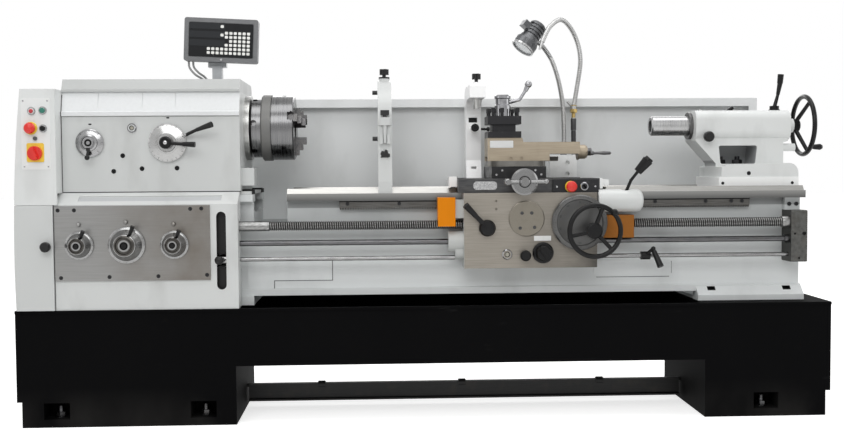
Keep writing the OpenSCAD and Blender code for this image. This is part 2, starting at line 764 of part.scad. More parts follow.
module rod_bracket() color(dark_steel) difference() {
  along_x(bracket_left, rod_end) round_rect([-rod_front - 30, control_z - 27],
    [-web_out, rail_bottom - 45], 6);
  rod_x(bracket_left - 1, rod_end + 1, lead_r - 3 + fit, -rod_front, lead_z);
  rod_x(bracket_left - 1, rod_end + 1, feed_r - 2 + fit, -rod_front, feed_z);
  rod_x(bracket_left - 1, rod_end + 1, control_r - 1 + fit, -rod_front, control_z);
  for (p = [[48, 104], [14, 104], [30, 14]]) rod_y(-rod_front - 31, -rod_front - 20, p.x > 40 ? 7 : 4,
    bracket_left + p.x, control_z - 27 + p.y);
}

module splash_guard() color(paint) {
  inside = guard_back;
  along_x(guard_left, guard_right) polygon([[inside, tray_floor + 30], [inside, guard_top - guard_sheet],
    [inside - guard_fold + guard_sheet, guard_top - guard_sheet],
    [inside - guard_fold + guard_sheet, guard_top - guard_lip], [inside - guard_fold,
      guard_top - guard_lip],
    [inside - guard_fold, guard_top], [inside + guard_sheet, guard_top],
    [inside + guard_sheet, tray_floor + 30]]);
  // end flange
  block([guard_right - 34, inside - guard_fold, rim_z + 2], [guard_right, inside - guard_fold + guard_sheet,
    guard_top - guard_lip]);
  block([guard_right - guard_sheet, inside - guard_fold + guard_sheet, rim_z + 2],
    [guard_right, inside, guard_top - guard_sheet]);
}

module dro_arm() color(dark_steel) {
  x = dro_x - 22;
  block([x - 40, dro_y - 12, lid_top], [x + 40, dro_y + 66, lid_top + 8]);
  block([x - 18, dro_y + 16, lid_top + 7], [x + 18, dro_y + 52, dro_z - dro_height / 2 - 10]);
  block([x - 34, dro_y + dro_depth / 2, dro_z - dro_height / 2 - 16],
    [x + 34, dro_y + 52, dro_z - dro_height / 2 + 40]);
}

module dro_console() color([0.28, 0.28, 0.29])
  translate([dro_x, dro_y, dro_z]) rotate([0, dro_tilt, 0]) difference() {
    union() {
      along_y(-dro_depth / 2, dro_depth / 2) polygon(round_box(dro_width, dro_height, 9));
      // keys, ten columns of the lower rows and the axis keys over them
      for (c = [0:9]) for (r = [0:1]) dro_key(c, r);
      for (c = [4:9]) for (r = [2:5]) if (c + r != 7) dro_key(c, r);
      for (r = [4.5, 6.6]) dro_key(3, r);
    }
    along_y(-dro_depth / 2 - 1, 2 - dro_depth / 2) difference() {
        polygon(round_box(dro_width - 32, dro_height - 32, 5));
        polygon(round_box(dro_width - 35, dro_height - 35, 4));
      }
  }

module dro_key(column, row) along_y(-dro_depth / 2 - 2, 1 - dro_depth / 2)
  translate([16.5 * column - 46, 15 * row - 48]) polygon(round_box(11.5, 10.5, 2.5, 2));

// ---- spindle and chuck ------------------------------------------------

// A ring of holes drilled in from the rim, at a step of turns
module rim_holes(x, r, depth, from, hole_r, turns) for (a = turns)
  translate([x, 0, axis_z]) rotate([-a, 0, 0]) rod_y(-r - 1, depth - r, hole_r, 0, 0);

module spindle() color(steel) difference() {
  translate([0, 0, axis_z]) rotate([0, 90, 0]) turned([
    [spindle_bore_r, end_left - 12], [spindle_r - 6, end_left - 12], [spindle_r - 6, head_left - 6],
    [spindle_r, head_left - 6], [spindle_r, head_right + cover_thick + gap],
    [nose_r - 16, head_right + cover_thick + gap], [nose_r - 16, head_right + cover_thick + 8],
    [nose_r, head_right + cover_thick + 8], [nose_r, nose_face], [spindle_bore_r, nose_face]]);
  rim_holes(nose_face - 26, nose_r, 22, 0, 11, [8:60:308]);
}

module chuck_body() color(steel) difference() {
  translate([0, 0, axis_z]) rotate([0, 90, 0]) turned([
    [chuck_bore_r, chuck_back_x], [chuck_r - 5, chuck_back_x], [chuck_r, chuck_back_x + 5],
    [chuck_r, chuck_mid_x - 2], [chuck_r - 6, chuck_mid_x - 2], [chuck_r - 6, chuck_mid_x],
    [chuck_r - 3, chuck_mid_x + 2], [chuck_r - 3, chuck_face - 4],
    [chuck_r - 8, chuck_face], [chuck_bore_r, chuck_face]]);
  for (a = jaw_turns) jaw_frame(a) {
    // slot of the jaw with its side grooves
    block([chuck_face - jaw_sink - gap, -chuck_r - 1, -jaw_width / 2 - gap],
      [chuck_face + 1, -chuck_bore_r * 0.6, jaw_width / 2 + gap]);
    block([chuck_face - 12 - gap, -chuck_r - 1, -jaw_width / 2 - 4 - gap],
      [chuck_face - 6 + gap, -chuck_bore_r * 0.6, jaw_width / 2 + 4 + gap]);
  }
  rim_holes(chuck_mid_x + 46, chuck_r, 24, 0, 9, [for (a = jaw_turns) a - 60]);
  for (a = [50, 170, 290]) jaw_frame(a) rod_x(chuck_face - 10, chuck_face + 1, 9, -chuck_r * 0.74, 0);
}

// Turns a jaw drawn towards the operator (-Y) up by an angle about the axis
module jaw_frame(a) translate([0, 0, axis_z]) rotate([-a, 0, 0]) children();

module chuck_jaw(a) color(dark_steel) jaw_frame(a) {
  tip = -jaw_inner;
  tail = jaw_inner + 66;
  block([chuck_face - jaw_sink, -tail, -jaw_width / 2], [chuck_face + 1, tip, jaw_width / 2]);
  block([chuck_face - 12, -tail, -jaw_width / 2 - 4], [chuck_face - 6, tip, jaw_width / 2 + 4]);
  // three steps, highest at the tip
  along_z(-jaw_width / 2, jaw_width / 2) polygon([[chuck_face, tip], [chuck_face, -tail],
    [chuck_face + jaw_height * 0.34, -tail], [chuck_face + jaw_height * 0.34, tip - 46],
    [chuck_face + jaw_height * 0.67, tip - 46], [chuck_face + jaw_height * 0.67, tip - 24],
    [chuck_face + jaw_height, tip - 24], [chuck_face + jaw_height, tip - 2],
    [chuck_face + jaw_height - 2, tip]]);
}

module chuck_jaw_1() chuck_jaw(jaw_turns[0]);
module chuck_jaw_2() chuck_jaw(jaw_turns[1]);
module chuck_jaw_3() chuck_jaw(jaw_turns[2]);

// ---- dials, levers and rods -------------------------------------------

// A dished dial with its stem behind it
module dial(r, rise, hub_r, stem_r) turned([[0, -36], [stem_r, -36], [stem_r, gap],
  [r - 2, gap], [r, 3], [r, 8], [r - 3, 10], [r * 0.86, 12], [r * 0.62, rise - 12],
  [r * 0.6, rise - 4], [hub_r + 2, rise], [hub_r, rise - 4], [hub_r - 3, rise - 4],
  [hub_r - 4, rise + 2], [0, rise + 2]]);

module speed_dial() color(steel) to_front(head_left + 379, -head_front, axis_z - 60) {
  difference() {
    turned([[6 + fit, -30], [14, -30], [14, gap], [66, gap], [68, 4], [68, 12],
      [64, 14], [34, 24], [32, 28], [6 + fit, 28]]);
    for (i = [0:11]) rotate(30 * i) translate([61, 0, 12]) cylinder(h = 5, r = 1.6);
  }
  // long lever on the outer dial
  link([54, 22, 10], [112, 46, 40], 6, 6);
  link([110, 45, 39], [167, 63, 65], 7, 11);
}

module range_lever() color(black) to_front(head_left + 379, -head_front, axis_z - 60) {
  turned([[0, -26], [6, -26], [6, 28 + gap], [22, 28 + gap], [22, 50], [17, 56],
    [10, 56], [9, 53], [0, 53]]);
  link([14, -2, 44], [64, -6, 51], 6, 6);
  link([62, -6, 51], [106, -8, 56], 8, 10);
}

module reverse_dial() color(steel) to_front(head_left + 102, -head_front, axis_z - 59) {
  dial(50, 28, 22, 12);
  link([0, -14, 20], [-2, -52, 36], 5, 5);
  translate([-2, -53, 37]) sphere(r = 9);
}

// A feed dial with a grip notch and a finger recess
module feed_dial(i, r) color(steel) to_front(dial_x[i], -box_front - front_plate, dial_z) difference() {
  dial(r, dial_rise, r * 0.44, 12);
  rotate(-24) translate([0, r * 0.74, dial_rise - 22]) linear_extrude(30) polygon(round_box(11,
    r * 0.44, 4));
  translate([0, 0, dial_rise - 2]) cylinder(h = 6, r = r * 0.16);
}

module feed_dial_1() feed_dial(0, feed_dial_r);
module feed_dial_2() feed_dial(1, mid_dial_r);
module feed_dial_3() feed_dial(2, feed_dial_r);

module control_rod() color(steel) {
  rod_x(slot_x - 40, rod_end - 2, control_r - 1, -rod_front, control_z);
  rod_x(slot_x - 13, bracket_left - gap, control_r, -rod_front, control_z);
  rod_x(slot_x - 13, slot_x + 13, 22, -rod_front, control_z);
  link([slot_x, -rod_front - 16, control_z], [slot_x - 2, -box_front - 30, control_z + 4], 9, 7);
  translate([slot_x - 3, -box_front - 40, control_z + 5]) sphere(r = 16);
}

module lead_screw() color(steel) {
  rod_x(box_right - 28, bracket_left - 25, lead_r, -rod_front, lead_z);
  rod_x(box_right - 28, box_right + 110, lead_r + 1, -rod_front, lead_z);
  rod_x(bracket_left - 26, bracket_left - gap, lead_r + 4, -rod_front, lead_z);
  rod_x(bracket_left - 2, rod_end - 2, lead_r - 3, -rod_front, lead_z);
}

module feed_rod() color(steel) {
  rod_x(box_right - 28, bracket_left - 15, feed_r, -rod_front, feed_z);
  rod_x(bracket_left - 16, bracket_left - gap, feed_r + 5, -rod_front, feed_z);
  rod_x(bracket_left - 2, rod_end - 2, feed_r - 2, -rod_front, feed_z);
}

// ---- carriage ----------------------------------------------------------

module saddle() color(dark_steel) difference() {
  union() {
    block([saddle_left, -saddle_front, flat_z], [saddle_right, saddle_back, saddle_top]);
    // wiper holders on both wings
    block([saddle_left - 29, -215, way_z + 4], [saddle_left + 1, -150, saddle_top + 8]);
    block([saddle_right - 1, -215, way_z + 4], [saddle_right + 34, -150, saddle_top - 6]);
    block([saddle_left - 12, 150, way_z + 4], [saddle_left + 1, 210, saddle_top - 6]);
    block([saddle_right - 1, 150, way_z + 4], [saddle_right + 12, 210, saddle_top - 6]);
  }
  ways_room(saddle_left - 40, saddle_right + 40, gap);
  block([saddle_left - 1, -bed_half + rail_width, flat_z - 1], [saddle_right + 1,
    bed_half - rail_width, way_z + gap]);
  block([saddle_left - 1, -bed_half - gap, flat_z - 1], [saddle_right + 1, -bed_half + 1, flat_z + gap]);
  block([saddle_left - 1, bed_half - 1, flat_z - 1], [saddle_right + 1, saddle_back + 1, way_z - 2]);
  // waisted bridge, which leaves wings on the ways
  block([saddle_left - 1, -105, flat_z - 1], [saddle_left + 48, 105, saddle_top + 1]);
  block([saddle_right - 110, -105, flat_z - 1], [saddle_right + 1, 105, saddle_top + 1]);
  // bore of the cross-feed screw
  rod_y(-saddle_front - 1, 60 - saddle_front, 10 + fit, ball_x, ball_z);
  // well of the stop button
  rod_y(-saddle_front - 1, 12 - saddle_front, 8, panel_x[0] + 64, saddle_top - 30);
}

module apron() color(ground_iron) difference() {
  union() {
    block([apron_left, -apron_front, apron_bottom], [apron_right, -apron_back, apron_top]);
    // bevel-edged flange plate
    to_front(apron_left + 226, -apron_front + 1, apron_top - 93)
      turned([[0, 0], [64, 0], [64, 4], [62, 6], [0, 6]]);
    // carriage dial ring, which stands round the wheel shaft
    to_front(ring_x, 1 - apron_front, ring_z) turned([[0, 0], [ring_r, 0], [ring_r, 16], [ring_r - 4, 20],
      [ring_r - 16, 22], [ring_r - 18, 17], [0, 17]]);
    to_front(apron_left + 155, -apron_front, apron_bottom + 50) sight_glass(18);
    to_front(apron_left + 220, 1 - apron_front, apron_bottom + 46) knob(19, 30);
    // clutch housing on the feed rod
    rod_x(apron_left - 55, apron_left + 1, 39, -rod_front, feed_z);
    rod_x(apron_left - 30, apron_left + 1, 30, -rod_front, control_z + 22);
    // bracket that holds the left screw guard
    block([apron_left - 30, -rod_front - 26, lead_z + 24], [apron_left + 1, -apron_back, apron_top - 24]);
  }
  rod_x(apron_left - 60, apron_right + 1, lead_r + 1.5, -rod_front, lead_z);
  rod_x(apron_left - 60, apron_right + 1, feed_r + fit, -rod_front, feed_z);
  rod_x(apron_left - 60, apron_right + 1, control_r + 0.5, -rod_front, control_z);
  for (p = [[209, -73], [244, -73], [202, -127], [254, -125]])
    rod_y(-apron_front - 6, 6 - apron_front, 5, apron_left + p.x, apron_top + p.y);
  for (z = [29, 58]) rod_y(-apron_front - 1, 8 - apron_front, 4, apron_left + 116, apron_top - z);
  rod_y(-apron_front - 30, 28 - apron_front, 14 + fit, wheel_x, wheel_z);
  rod_y(-apron_front - 1, 30 - apron_front, 12 + fit, half_nut_x, half_nut_z);
  rod_y(-apron_front - 1, 40 - apron_front, 12 + fit, feed_knob_x, feed_knob_z);
}

module screw_guard(x0, x1, z0, z1) color(orange) difference() {
  block([x0, -rod_front - 38, z0], [x1, -apron_back, z1]);
  rod_x(x0 - 1, x1 + 1, lead_r + 2, -rod_front, lead_z);
  block([x0 - 1, -rod_front - lead_r - 2, z0 - 1], [x1 + 1, lead_r + 2 - rod_front, lead_z]);
}

module left_guard() screw_guard(apron_left - 93, apron_left - 30, lead_z - 5, apron_top - 16);
module right_guard() screw_guard(apron_right, apron_right + 138, lead_z - 51, lead_z + 31);

module joystick_housing() color(paint) difference() {
  union() {
    translate([0, stick_y, stick_z]) rotate([0, 90, 0]) turned(concat([[0, apron_right + 4],
      [stick_r - 3, apron_right + 4], [stick_r, apron_right + 8]],
        [for (p = arc([stick_r - 22, apron_right + 148], 22, 0, 90, 6)) p], [[0, apron_right + 170]]));
    block([apron_right, -saddle_front + 2, stick_z - 26], [apron_right + 60, -apron_back - 2,
      stick_z + 24]);
  }
  translate([stick_x, stick_y, stick_z + 14]) cylinder(h = 40, r = 19);
  // seats against the saddle, the panel and the dial ring
  block([apron_right, -saddle_front, apron_top], [saddle_right, 0, saddle_top]);
  block([apron_right, -apron_front, apron_top - 1], [panel_x[1], -saddle_front + 1, saddle_top]);
  to_front(ring_x, 2 - apron_front, ring_z) cylinder(h = 62, r = ring_r + gap);
}

module joystick() color(black) {
  p = [stick_x, stick_y, stick_z + 22];
  elbow = p + [20, -10, 51];
  grip = p + [46, -17, 86];
  top = p + [78, -28, 124];
  translate(p) sphere(r = 7.6);
  link(p, elbow, 6, 5.5);
  translate(elbow) sphere(r = 6.4);
  link(elbow, grip, 5.5, 5.5);
  link(grip - [3, -1, 4], top, 15, 20);
  link(top - [1, 0, 1], top + [6, -2, 7], 17, 15);
}

module control_panel() color(black) difference() {
  union() {
    block([panel_x[0], -saddle_front - 12, apron_top], [panel_x[1], -saddle_front, saddle_top - 5]);
    to_front(panel_x[0] + 113, -saddle_front - 11, saddle_top - 30)
      turned([[0, 0], [15, 0], [15, 5], [12, 8], [8, 8], [8, 14], [0, 14]]);
    // collar of the stop button
    to_front(panel_x[0] + 64, -saddle_front - 11, saddle_top - 30) cylinder(h = 4, r = 20.5);
  }
  rod_y(-saddle_front - 20, 1 - saddle_front, 8, panel_x[0] + 64, saddle_top - 30);
  for (x = [14, 154]) rod_y(-saddle_front - 13, -saddle_front - 8, 4, panel_x[0] + x, saddle_top - 30);
}

module panel_stop_button() color(red) to_front(panel_x[0] + 64, -saddle_front, saddle_top - 30)
  turned([[0, 1], [7, 1], [7, 28], [18, 28], [20, 33], [16, 39], [0, 42]]);

module follow_rest() color(paint) {
  x_mid = (follow_x[0] + follow_x[1]) / 2;
  difference() {
    along_x(follow_x[0], follow_x[1]) polygon(concat([[follow_front - 22, saddle_top],
      [follow_front, saddle_top + 70], [follow_front, axis_z + 44]],
      arc([follow_front - 66, axis_z + 44], 66, 0, 90, 8), [[-58, axis_z + 110],
      [-58, follow_top - 6], [-52, follow_top]],
      arc([follow_back - 60, follow_top - 60], 60, 90, 0, 8), [[follow_back, saddle_top]]));
    block([x_mid - 17, follow_front - 1, axis_z + 23], [x_mid + 13, follow_front + 30, axis_z + 43]);
    block([x_mid - 10, follow_front - 22, saddle_top + 36], [x_mid + 10, follow_front + 16,
      saddle_top + 46]);
  }
  // upper and rear fingers with their knobs
  rod_z(axis_z + 70, follow_top + 12, finger_r, x_mid, 0);
  translate([x_mid, 0, follow_top + 8]) star_knob(17, 36);
  rod_y(64, follow_back + 8, finger_r + 3, x_mid, axis_z);
  translate([x_mid, follow_back + 4, axis_z]) rotate([-90, 0, 0]) star_knob(17, 34);
  // clamp screw of the rear finger
  rod_x(follow_x[1] - 1, follow_x[1] + 20, 5, follow_front + 30, axis_z - 2);
  to_right(follow_x[1] + 18, follow_front + 30, axis_z - 2) knob(9, 20);
}

module work_lamp() color(steel) {
  foot = [mast_left + 59, mast_y, mast_top - 10];
  // bracket on the rear right of the saddle
  color(paint) difference() {
    block([mast_left, mast_y - 20, saddle_top], [mast_left + 110, mast_y + 22, mast_top]);
    for (z = [14, 58]) rod_y(mast_y - 21, mast_y - 4, 9, mast_left + 72, saddle_top + z);
  }
  rod_z(mast_top - 1, mast_top + 14, 13, foot.x, foot.y);
  route = [foot, foot + [2, 0, 66], foot + [0, -4, 150], foot + [-8, -20, 224], foot + [-30, -50, 310],
    foot + [-60, -74, 384], foot + [-98, -90, 436], foot + [-126, -98, 456]];
  swept(spline(route, 4), 9, 10);
  // lamp head, a round reflector housing with a finned box behind it
  lamp = foot + [-150, -104, 470];
  translate(lamp) rotate([0, -142, 18]) {
    translate([0, 0, -62]) cylinder(h = 62, r = 31);
    turned([[0, -2], [36, -2], [47, 24], [47, 56], [43, 56], [39, 30], [0, 22]]);
    for (i = [0:3]) translate([0, 0, -56 + 14 * i]) cylinder(h = 6, r = 36);
    translate([20, -18, -40]) cube([40, 36, 26]);
  }
}

module coolant_hose() color(steel) {
  foot = [mast_left + 100, mast_y, mast_top];
  rod_z(foot.z, saddle_top + 190, 8, foot.x, foot.y);
  rod_z(saddle_top + 189, saddle_top + 240, 10, foot.x, foot.y);
  rod_z(saddle_top + 239, saddle_top + 270, 7, foot.x, foot.y);
  rod_z(saddle_top + 262, saddle_top + 290, 12, foot.x, foot.y);
  link([foot.x - 4, foot.y, saddle_top + 284], [foot.x - 26, foot.y, saddle_top + 306], 5, 5);
  start = [foot.x, foot.y, saddle_top + 286];
  route = [start, start + [12, 0, 66], start + [24, -20, 188], start + [-4, -40, 282],
    start + [-62, -92, 334], start + [-118, -136, 302], start + [-152, -158, 240]];
  swept(spline(route, 4), 9, 10);
  link(start + [-151, -157.6, 244], start + [-163, -163, 210], 7, 4);
}

// A dished wheel with three spokes, drawn upright on the origin
module wheel(r, rim, hub_r, dish, turn) {
  translate([0, 0, dish]) rotate_extrude() translate([r - rim, 0]) circle(r = rim);
  turned([[0, 0], [hub_r, 0], [hub_r, 22], [hub_r - 5, 26], [0, 26]]);
  for (a = [0:120:240]) rotate(turn + a)
    link([hub_r - 4, 0, 12], [r - rim - 2, 0, dish], rim * 0.95, rim * 0.8);
}

module apron_handwheel() color(black) to_front(wheel_x, -apron_front, wheel_z) {
  translate([0, 0, -27]) cylinder(h = 33 + wheel_reach - 30, r = 14);
  translate([0, 0, wheel_reach - 30]) wheel(wheel_r, 8.5, 28, 26, 72);
  // grip on the rim
  translate([59, 66, wheel_reach - 4]) turned([[0, 0], [8, 0], [7, 10], [11, 24],
    [13, 44], [9, 54], [0, 56]]);
}

module half_nut_lever() color(black) to_front(half_nut_x, -apron_front, half_nut_z) {
  translate([0, 0, -28]) cylinder(h = 30, r = 12);
  translate([0, 0, gap]) turned([[0, 0], [30, 0], [30, 14], [24, 24], [0, 27]]);
  link([-14, 15, 14], [-44, 46, 28], 9, 8);
  link([-42, 44, 27], [-81, 84, 44], 9, 12);
}

module feed_knob() color(black) to_front(feed_knob_x, -apron_front, feed_knob_z) {
  translate([0, 0, -34]) cylinder(h = 36, r = 12);
  translate([0, 0, gap]) turned([[0, 0], [38, 0], [38, 8], [33, 12], [0, 12]]);
  difference() {
    translate([0, 0, 8]) cylinder(h = 30, r1 = 30, r2 = 24);
    for (a = [0:60:300]) rotate(a) translate([34, 0, 7]) cylinder(h = 40, r = 9);
  }
  rotate(40) translate([0, 0, 34]) linear_extrude(14) polygon(round_box(12, 44, 5));
}

module start_lever() color(black) {
  difference() {
    rod_x(lever_x - 16, lever_x + 18, 15, -rod_front, control_z);
    rod_x(lever_x - 17, lever_x + 19, control_r + gap, -rod_front, control_z);
  }
  elbow = [lever_x + 24, -rod_front - 28, control_z + 27];
  link([lever_x + 8, -rod_front - 12, control_z + 9], elbow, 6, 6);
  translate(elbow) sphere(r = 8.4);
  link(elbow, elbow + [3, -4, -12], 6, 6);
  link(elbow + [2, -3, -10], elbow + [20, -28, -64], 9, 12);
}

// ---- cross slide, compound and tool post --------------------------------

module cross_slide() color(black) difference() {
  block([pivot_x - cross_width / 2, cross_front, saddle_top + gap],
    [pivot_x + cross_width / 2, cross_front + cross_length, cross_top]);
  // bolt heads on the front face
  for (p = [[-84, 14], [84, 14], [-62, 30], [62, 30]])
    rod_y(cross_front - 1, cross_front + 5, 5, pivot_x + p.x, saddle_top + p.y);
  rod_z(cross_top - 18, cross_top + 1, 20 + fit, pivot_x, pivot_y);
}

module cross_handwheel() color(steel) to_front(ball_x, -saddle_front, ball_z) {
  translate([0, 0, -54]) cylinder(h = 60, r = 10);
  translate([0, 0, gap]) turned([[0, 0], [24, 0], [24, 10], [40, 14], [40, 34],
    [36, 38], [20, 38], [20, 60], [0, 60]]);
  translate([0, 0, 56]) turned([[0, 0], [42, 0], [48, 4], [48, 16], [42, 20], [0, 20]]);
  // balanced ball handle across the wheel
  link([-62, 0, 84], [76, 0, 84], 7, 7);
  cylinder(h = 92, r = 15);
  translate([-63, 0, 84]) sphere(r = 13);
  translate([76, 0, 84]) sphere(r = 10);
  translate([-63, 0, 90]) cylinder(h = 44, r1 = 6, r2 = 9);
}

module swivel_base() color([0.45, 0.45, 0.45]) {
  rod_z(cross_top + gap, swivel_top, swivel_r, pivot_x, pivot_y);
  block([slide_left, pivot_y - slide_width / 2, cross_top + gap],
    [slide_left + 214, pivot_y + slide_width / 2, swivel_top]);
  rod_z(cross_top - 17, cross_top + 1, 20, pivot_x, pivot_y);
  // dovetail guide of the compound slide
  along_x(slide_left + 26, slide_right - 78) polygon([[pivot_y - 26, swivel_top - 1],
    [pivot_y - 26, swivel_top], [pivot_y - 34, swivel_top + 16], [pivot_y + 34, swivel_top + 16],
    [pivot_y + 26, swivel_top], [pivot_y + 26, swivel_top - 1]]);
}

module compound_slide() color(ground_iron) {
  low = swivel_top + gap;
  y0 = pivot_y - slide_width / 2;
  y1 = pivot_y + slide_width / 2;
  difference() {
    union() {
      along_y(y0, y1) polygon([[slide_left, low], [slide_left, slide_top],
        [slide_left + 131, slide_top], [slide_left + 136, slide_top - 16],
        [slide_right, slide_top - 16], [slide_right, low + 26],
        [slide_right - 115, low + 26], [slide_right - 115, low]]);
      to_right(slide_right - 1, pivot_y, crank_z) turned([[0, 0], [31, 0], [31, 6], [27, 8], [27,
        30], [22, 38], [0, 38]]);
    }
    along_x(slide_left - 1, slide_right - 70) polygon([[pivot_y - 27, low - 1],
      [pivot_y - 26 - gap, swivel_top], [pivot_y - 34 - 2 * gap, swivel_top + 16 + gap],
      [pivot_y + 34 + 2 * gap, swivel_top + 16 + gap], [pivot_y + 26 + gap, swivel_top],
      [pivot_y + 27, low - 1]]);
    rod_x(slide_right + 6, slide_right + 40, 8 + fit, pivot_y, crank_z);
    // gib screws
    for (x = [88, 128]) rod_y(y0 - 1, y0 + 5, 6, slide_left + x, swivel_top + 9);
  }
  rod_z(slide_top - 1, slide_top + 9, 30, post_x, pivot_y);
  rod_z(slide_top + 8, post_top + 13, 12, post_x, pivot_y);
}

module compound_crank() color(steel) to_right(slide_right + 37, pivot_y, crank_z) {
  translate([0, 0, -28]) cylinder(h = 30, r = 8);
  translate([0, 0, gap]) cylinder(h = 16, r = 15);
  // crank arm towards the front, with a slim handle
  translate([0, 0, 9]) link([0, 0, 0], [6, -42, 6], 7, 6);
  translate([6, -42, 14]) turned([[0, -8], [8, -8], [8, 0], [5, 8], [5, 22], [7, 44], [6, 68], [0, 72]]);
}

module toolpost() color(black) difference() {
  s = post_side / 2;
  z0 = slide_top + gap;
  translate([post_x, pivot_y, 0]) union() {
    translate([-s, -s, z0]) cube([2 * s, 2 * s, 24]);
    translate([-s + 19, -s + 19, z0 + 23]) cube([2 * s - 38, 2 * s - 38, 30]);
    translate([-s, -s, z0 + 51]) cube([2 * s, 2 * s, post_height - 51]);
    // eight clamping screws with square heads
    for (side = [0:90:270]) rotate(side) for (x = [-42, -8]) translate([x, -s + 12, post_top - 1]) {
      cylinder(h = 17, r = 6);
      translate([-7, -7, 16]) cube([14, 14, 16]);
    }
  }
  rod_z(z0 - 1, z0 + 10, 30 + gap, post_x, pivot_y);
  rod_z(z0 - 1, post_top + 2, 12 + fit, post_x, pivot_y);
}

module toolpost_lever() color(steel) translate([post_x, pivot_y, post_top + gap]) {
  difference() {
    turned([[0, 0], [31, 0], [31, 42], [27, 45], [27, 66], [31, 69], [31, 78], [26, 82], [0, 84]]);
    translate([0, 0, -1]) cylinder(h = 15, r = 12 + gap);
  }
  rotate(-6) {
    link([20, 0, 54], [66, 0, 64], 8, 6);
    link([64, 0, 63], [88, 0, 100], 6, 6);
    link([86, 0, 96], [97, 0, 120], 8, 11);
    translate([98, 0, 122]) sphere(r = 14);
  }
}

// ---- tailstock -----------------------------------------------------------

module tailstock_base() color(paint) difference() {
  union() {
    along_y(-tail_half - 14, tail_half + 14) polygon([[tail_left, flat_z], [tail_left, tail_base_top],
      [tail_right, tail_base_top], [tail_right, flat_z]]);
    // clamp plate between the bed walls
    block([tail_left + 57, -108, rail_bottom - 2], [tail_right - 109, 108, way_z]);
    block([tail_left + 67, -bed_half + rail_width - 20, rail_bottom - 26],
      [tail_right - 119, bed_half - rail_width + 20, rail_bottom - gap]);
  }
  ways_room(tail_left - 1, tail_right + 1, gap);
  for (x = [16, 282]) rod_y(-tail_half - 15, -tail_half - 4, 6, tail_left + x, way_z + 9);
}

module tailstock_body() color(paint) {
  side_low = tail_base_top;
  difference() {
    union() {
      // lower casting, drawn across the bed, and the wider foot under it
      along_y(-68, 68) polygon([[tail_left + 12, side_low], [tail_left + 12, axis_z - 146],
        [barrel_left + 2, axis_z - barrel_r - 2], [barrel_left + 2, axis_z - 20],
        [barrel_right - 6, axis_z - 20], [barrel_right - 6, axis_z - 62],
        [tail_right - 31, axis_z - 66], [tail_right - 31, side_low]]);
      along_y(-tail_half - 12, tail_half + 12) polygon(concat([[tail_left + 12, side_low],
        [tail_left + 12, side_low + 38],
        [tail_left + 40, side_low + 46]],
        arc([tail_right - 36, side_low + 16], 36, 90, 0, 6), [[tail_right, side_low]]));
      // barrel with a flat-topped front
      along_x(barrel_left, barrel_right) translate([0, axis_z]) polygon(round_box(164, 2 * barrel_r,
        34, 8));
      rod_x(barrel_right - 1, tail_hub - gap, 27, 0, axis_z);
      rod_x(tail_right - 36, barrel_right + 24, 15, -52, axis_z - 86);
      // oil cap and quill clamp knob
      rod_z(axis_z + barrel_r - 4, axis_z + barrel_r + 5, 7, barrel_left + 29, -30);
      to_front(barrel_left + 42, -76, axis_z - 44) turned([[0, 0], [10, 0], [10, 12], [18, 16], [20,
        22], [20, 34], [16, 38], [0, 38]]);
      block([barrel_left + 31, -76, axis_z - 56], [barrel_left + 53, 60, axis_z - 34]);
      rod_z(axis_z + barrel_r - 4, axis_z + barrel_r + 7, 22, barrel_right - 20, 40);
    }
    // window through the casting
    along_y(-tail_half - 13, tail_half + 13) translate([tail_left + 98, side_low + 84]) polygon(concat(
      arc([-66, 28], 8, 90, 180, 4), arc([-60, -26], 8, 180, 270, 4),
      arc([60, -26], 8, 270, 360, 4), arc([66, 28], 8, 0, 90, 4)));
    rod_y(-tail_half - 13, -tail_half, 8, tail_left + 116, side_low + 14);
    rod_x(barrel_left - 1, barrel_right - 30, quill_r + 0.1, 0, axis_z);
    rod_x(barrel_right - 31, tail_hub + 1, 12 + fit, 0, axis_z);
    rod_z(axis_z - 10, axis_z + barrel_r + 10, 8 + fit, barrel_right - 20, 40);
  }
  // locking ring round the mouth of the barrel
  difference() {
    rod_x(barrel_left - 12, barrel_left, 52, 0, axis_z);
    rod_x(barrel_left - 13, barrel_left + 1, quill_r + 0.4, 0, axis_z);
  }
}

module quill() color(steel) difference() {
  translate([0, 0, axis_z]) rotate([0, 90, 0]) turned([[0, quill_left],
    [quill_r - 4, quill_left], [quill_r, quill_left + 5], [quill_r, quill_right], [0, quill_right]]);
  // taper socket of the centre
  translate([quill_left - 1, 0, axis_z]) rotate([0, 90, 0]) cylinder(h = 130, r1 = 22.3, r2 = 19);
  rod_x(quill_step, quill_right + 1, 13, 0, axis_z);
}

module tail_handwheel() color(black) to_right(tail_hub, 0, axis_z) {
  translate([0, 0, -120]) cylinder(h = 122, r = 12);
  wheel(tail_wheel_r, 9, 26, 44, 96);
  translate([85, -60, 44]) turned([[0, 0], [7, 0], [7, 8], [10, 22], [12, 42], [8, 50], [0, 52]]);
}

module tail_lever() color(black) translate([barrel_right - 20, 40, axis_z + barrel_r + 7]) {
  translate([0, 0, -40]) cylinder(h = 42, r = 8);
  translate([0, 0, gap]) cylinder(h = 14, r = 18);
  link([0, 0, 8], [14, 0, 60], 8, 6);
  link([13.6, 0, 59], [22, 0, 104], 7, 10);
  link([21.8, 0, 103], [25, 0, 138], 11, 12);
}

// ---- steady rest ----------------------------------------------------------

// Upper or lower half of the ring about the spindle
module steady_ring(top) {
  low = top ? axis_z + gap : way_z - 40;
  high = top ? axis_z + steady_r + 40 : axis_z - gap;
  intersection() {
    union() {
      along_x(steady_left, steady_right) translate([0, axis_z]) difference() {
        circle(r = steady_r);
        circle(r = steady_inner_r);
      }
    }
    block([steady_left - 1, -400, low], [steady_right + 1, top ? steady_hinge - 24 : 400, high]);
  }
}

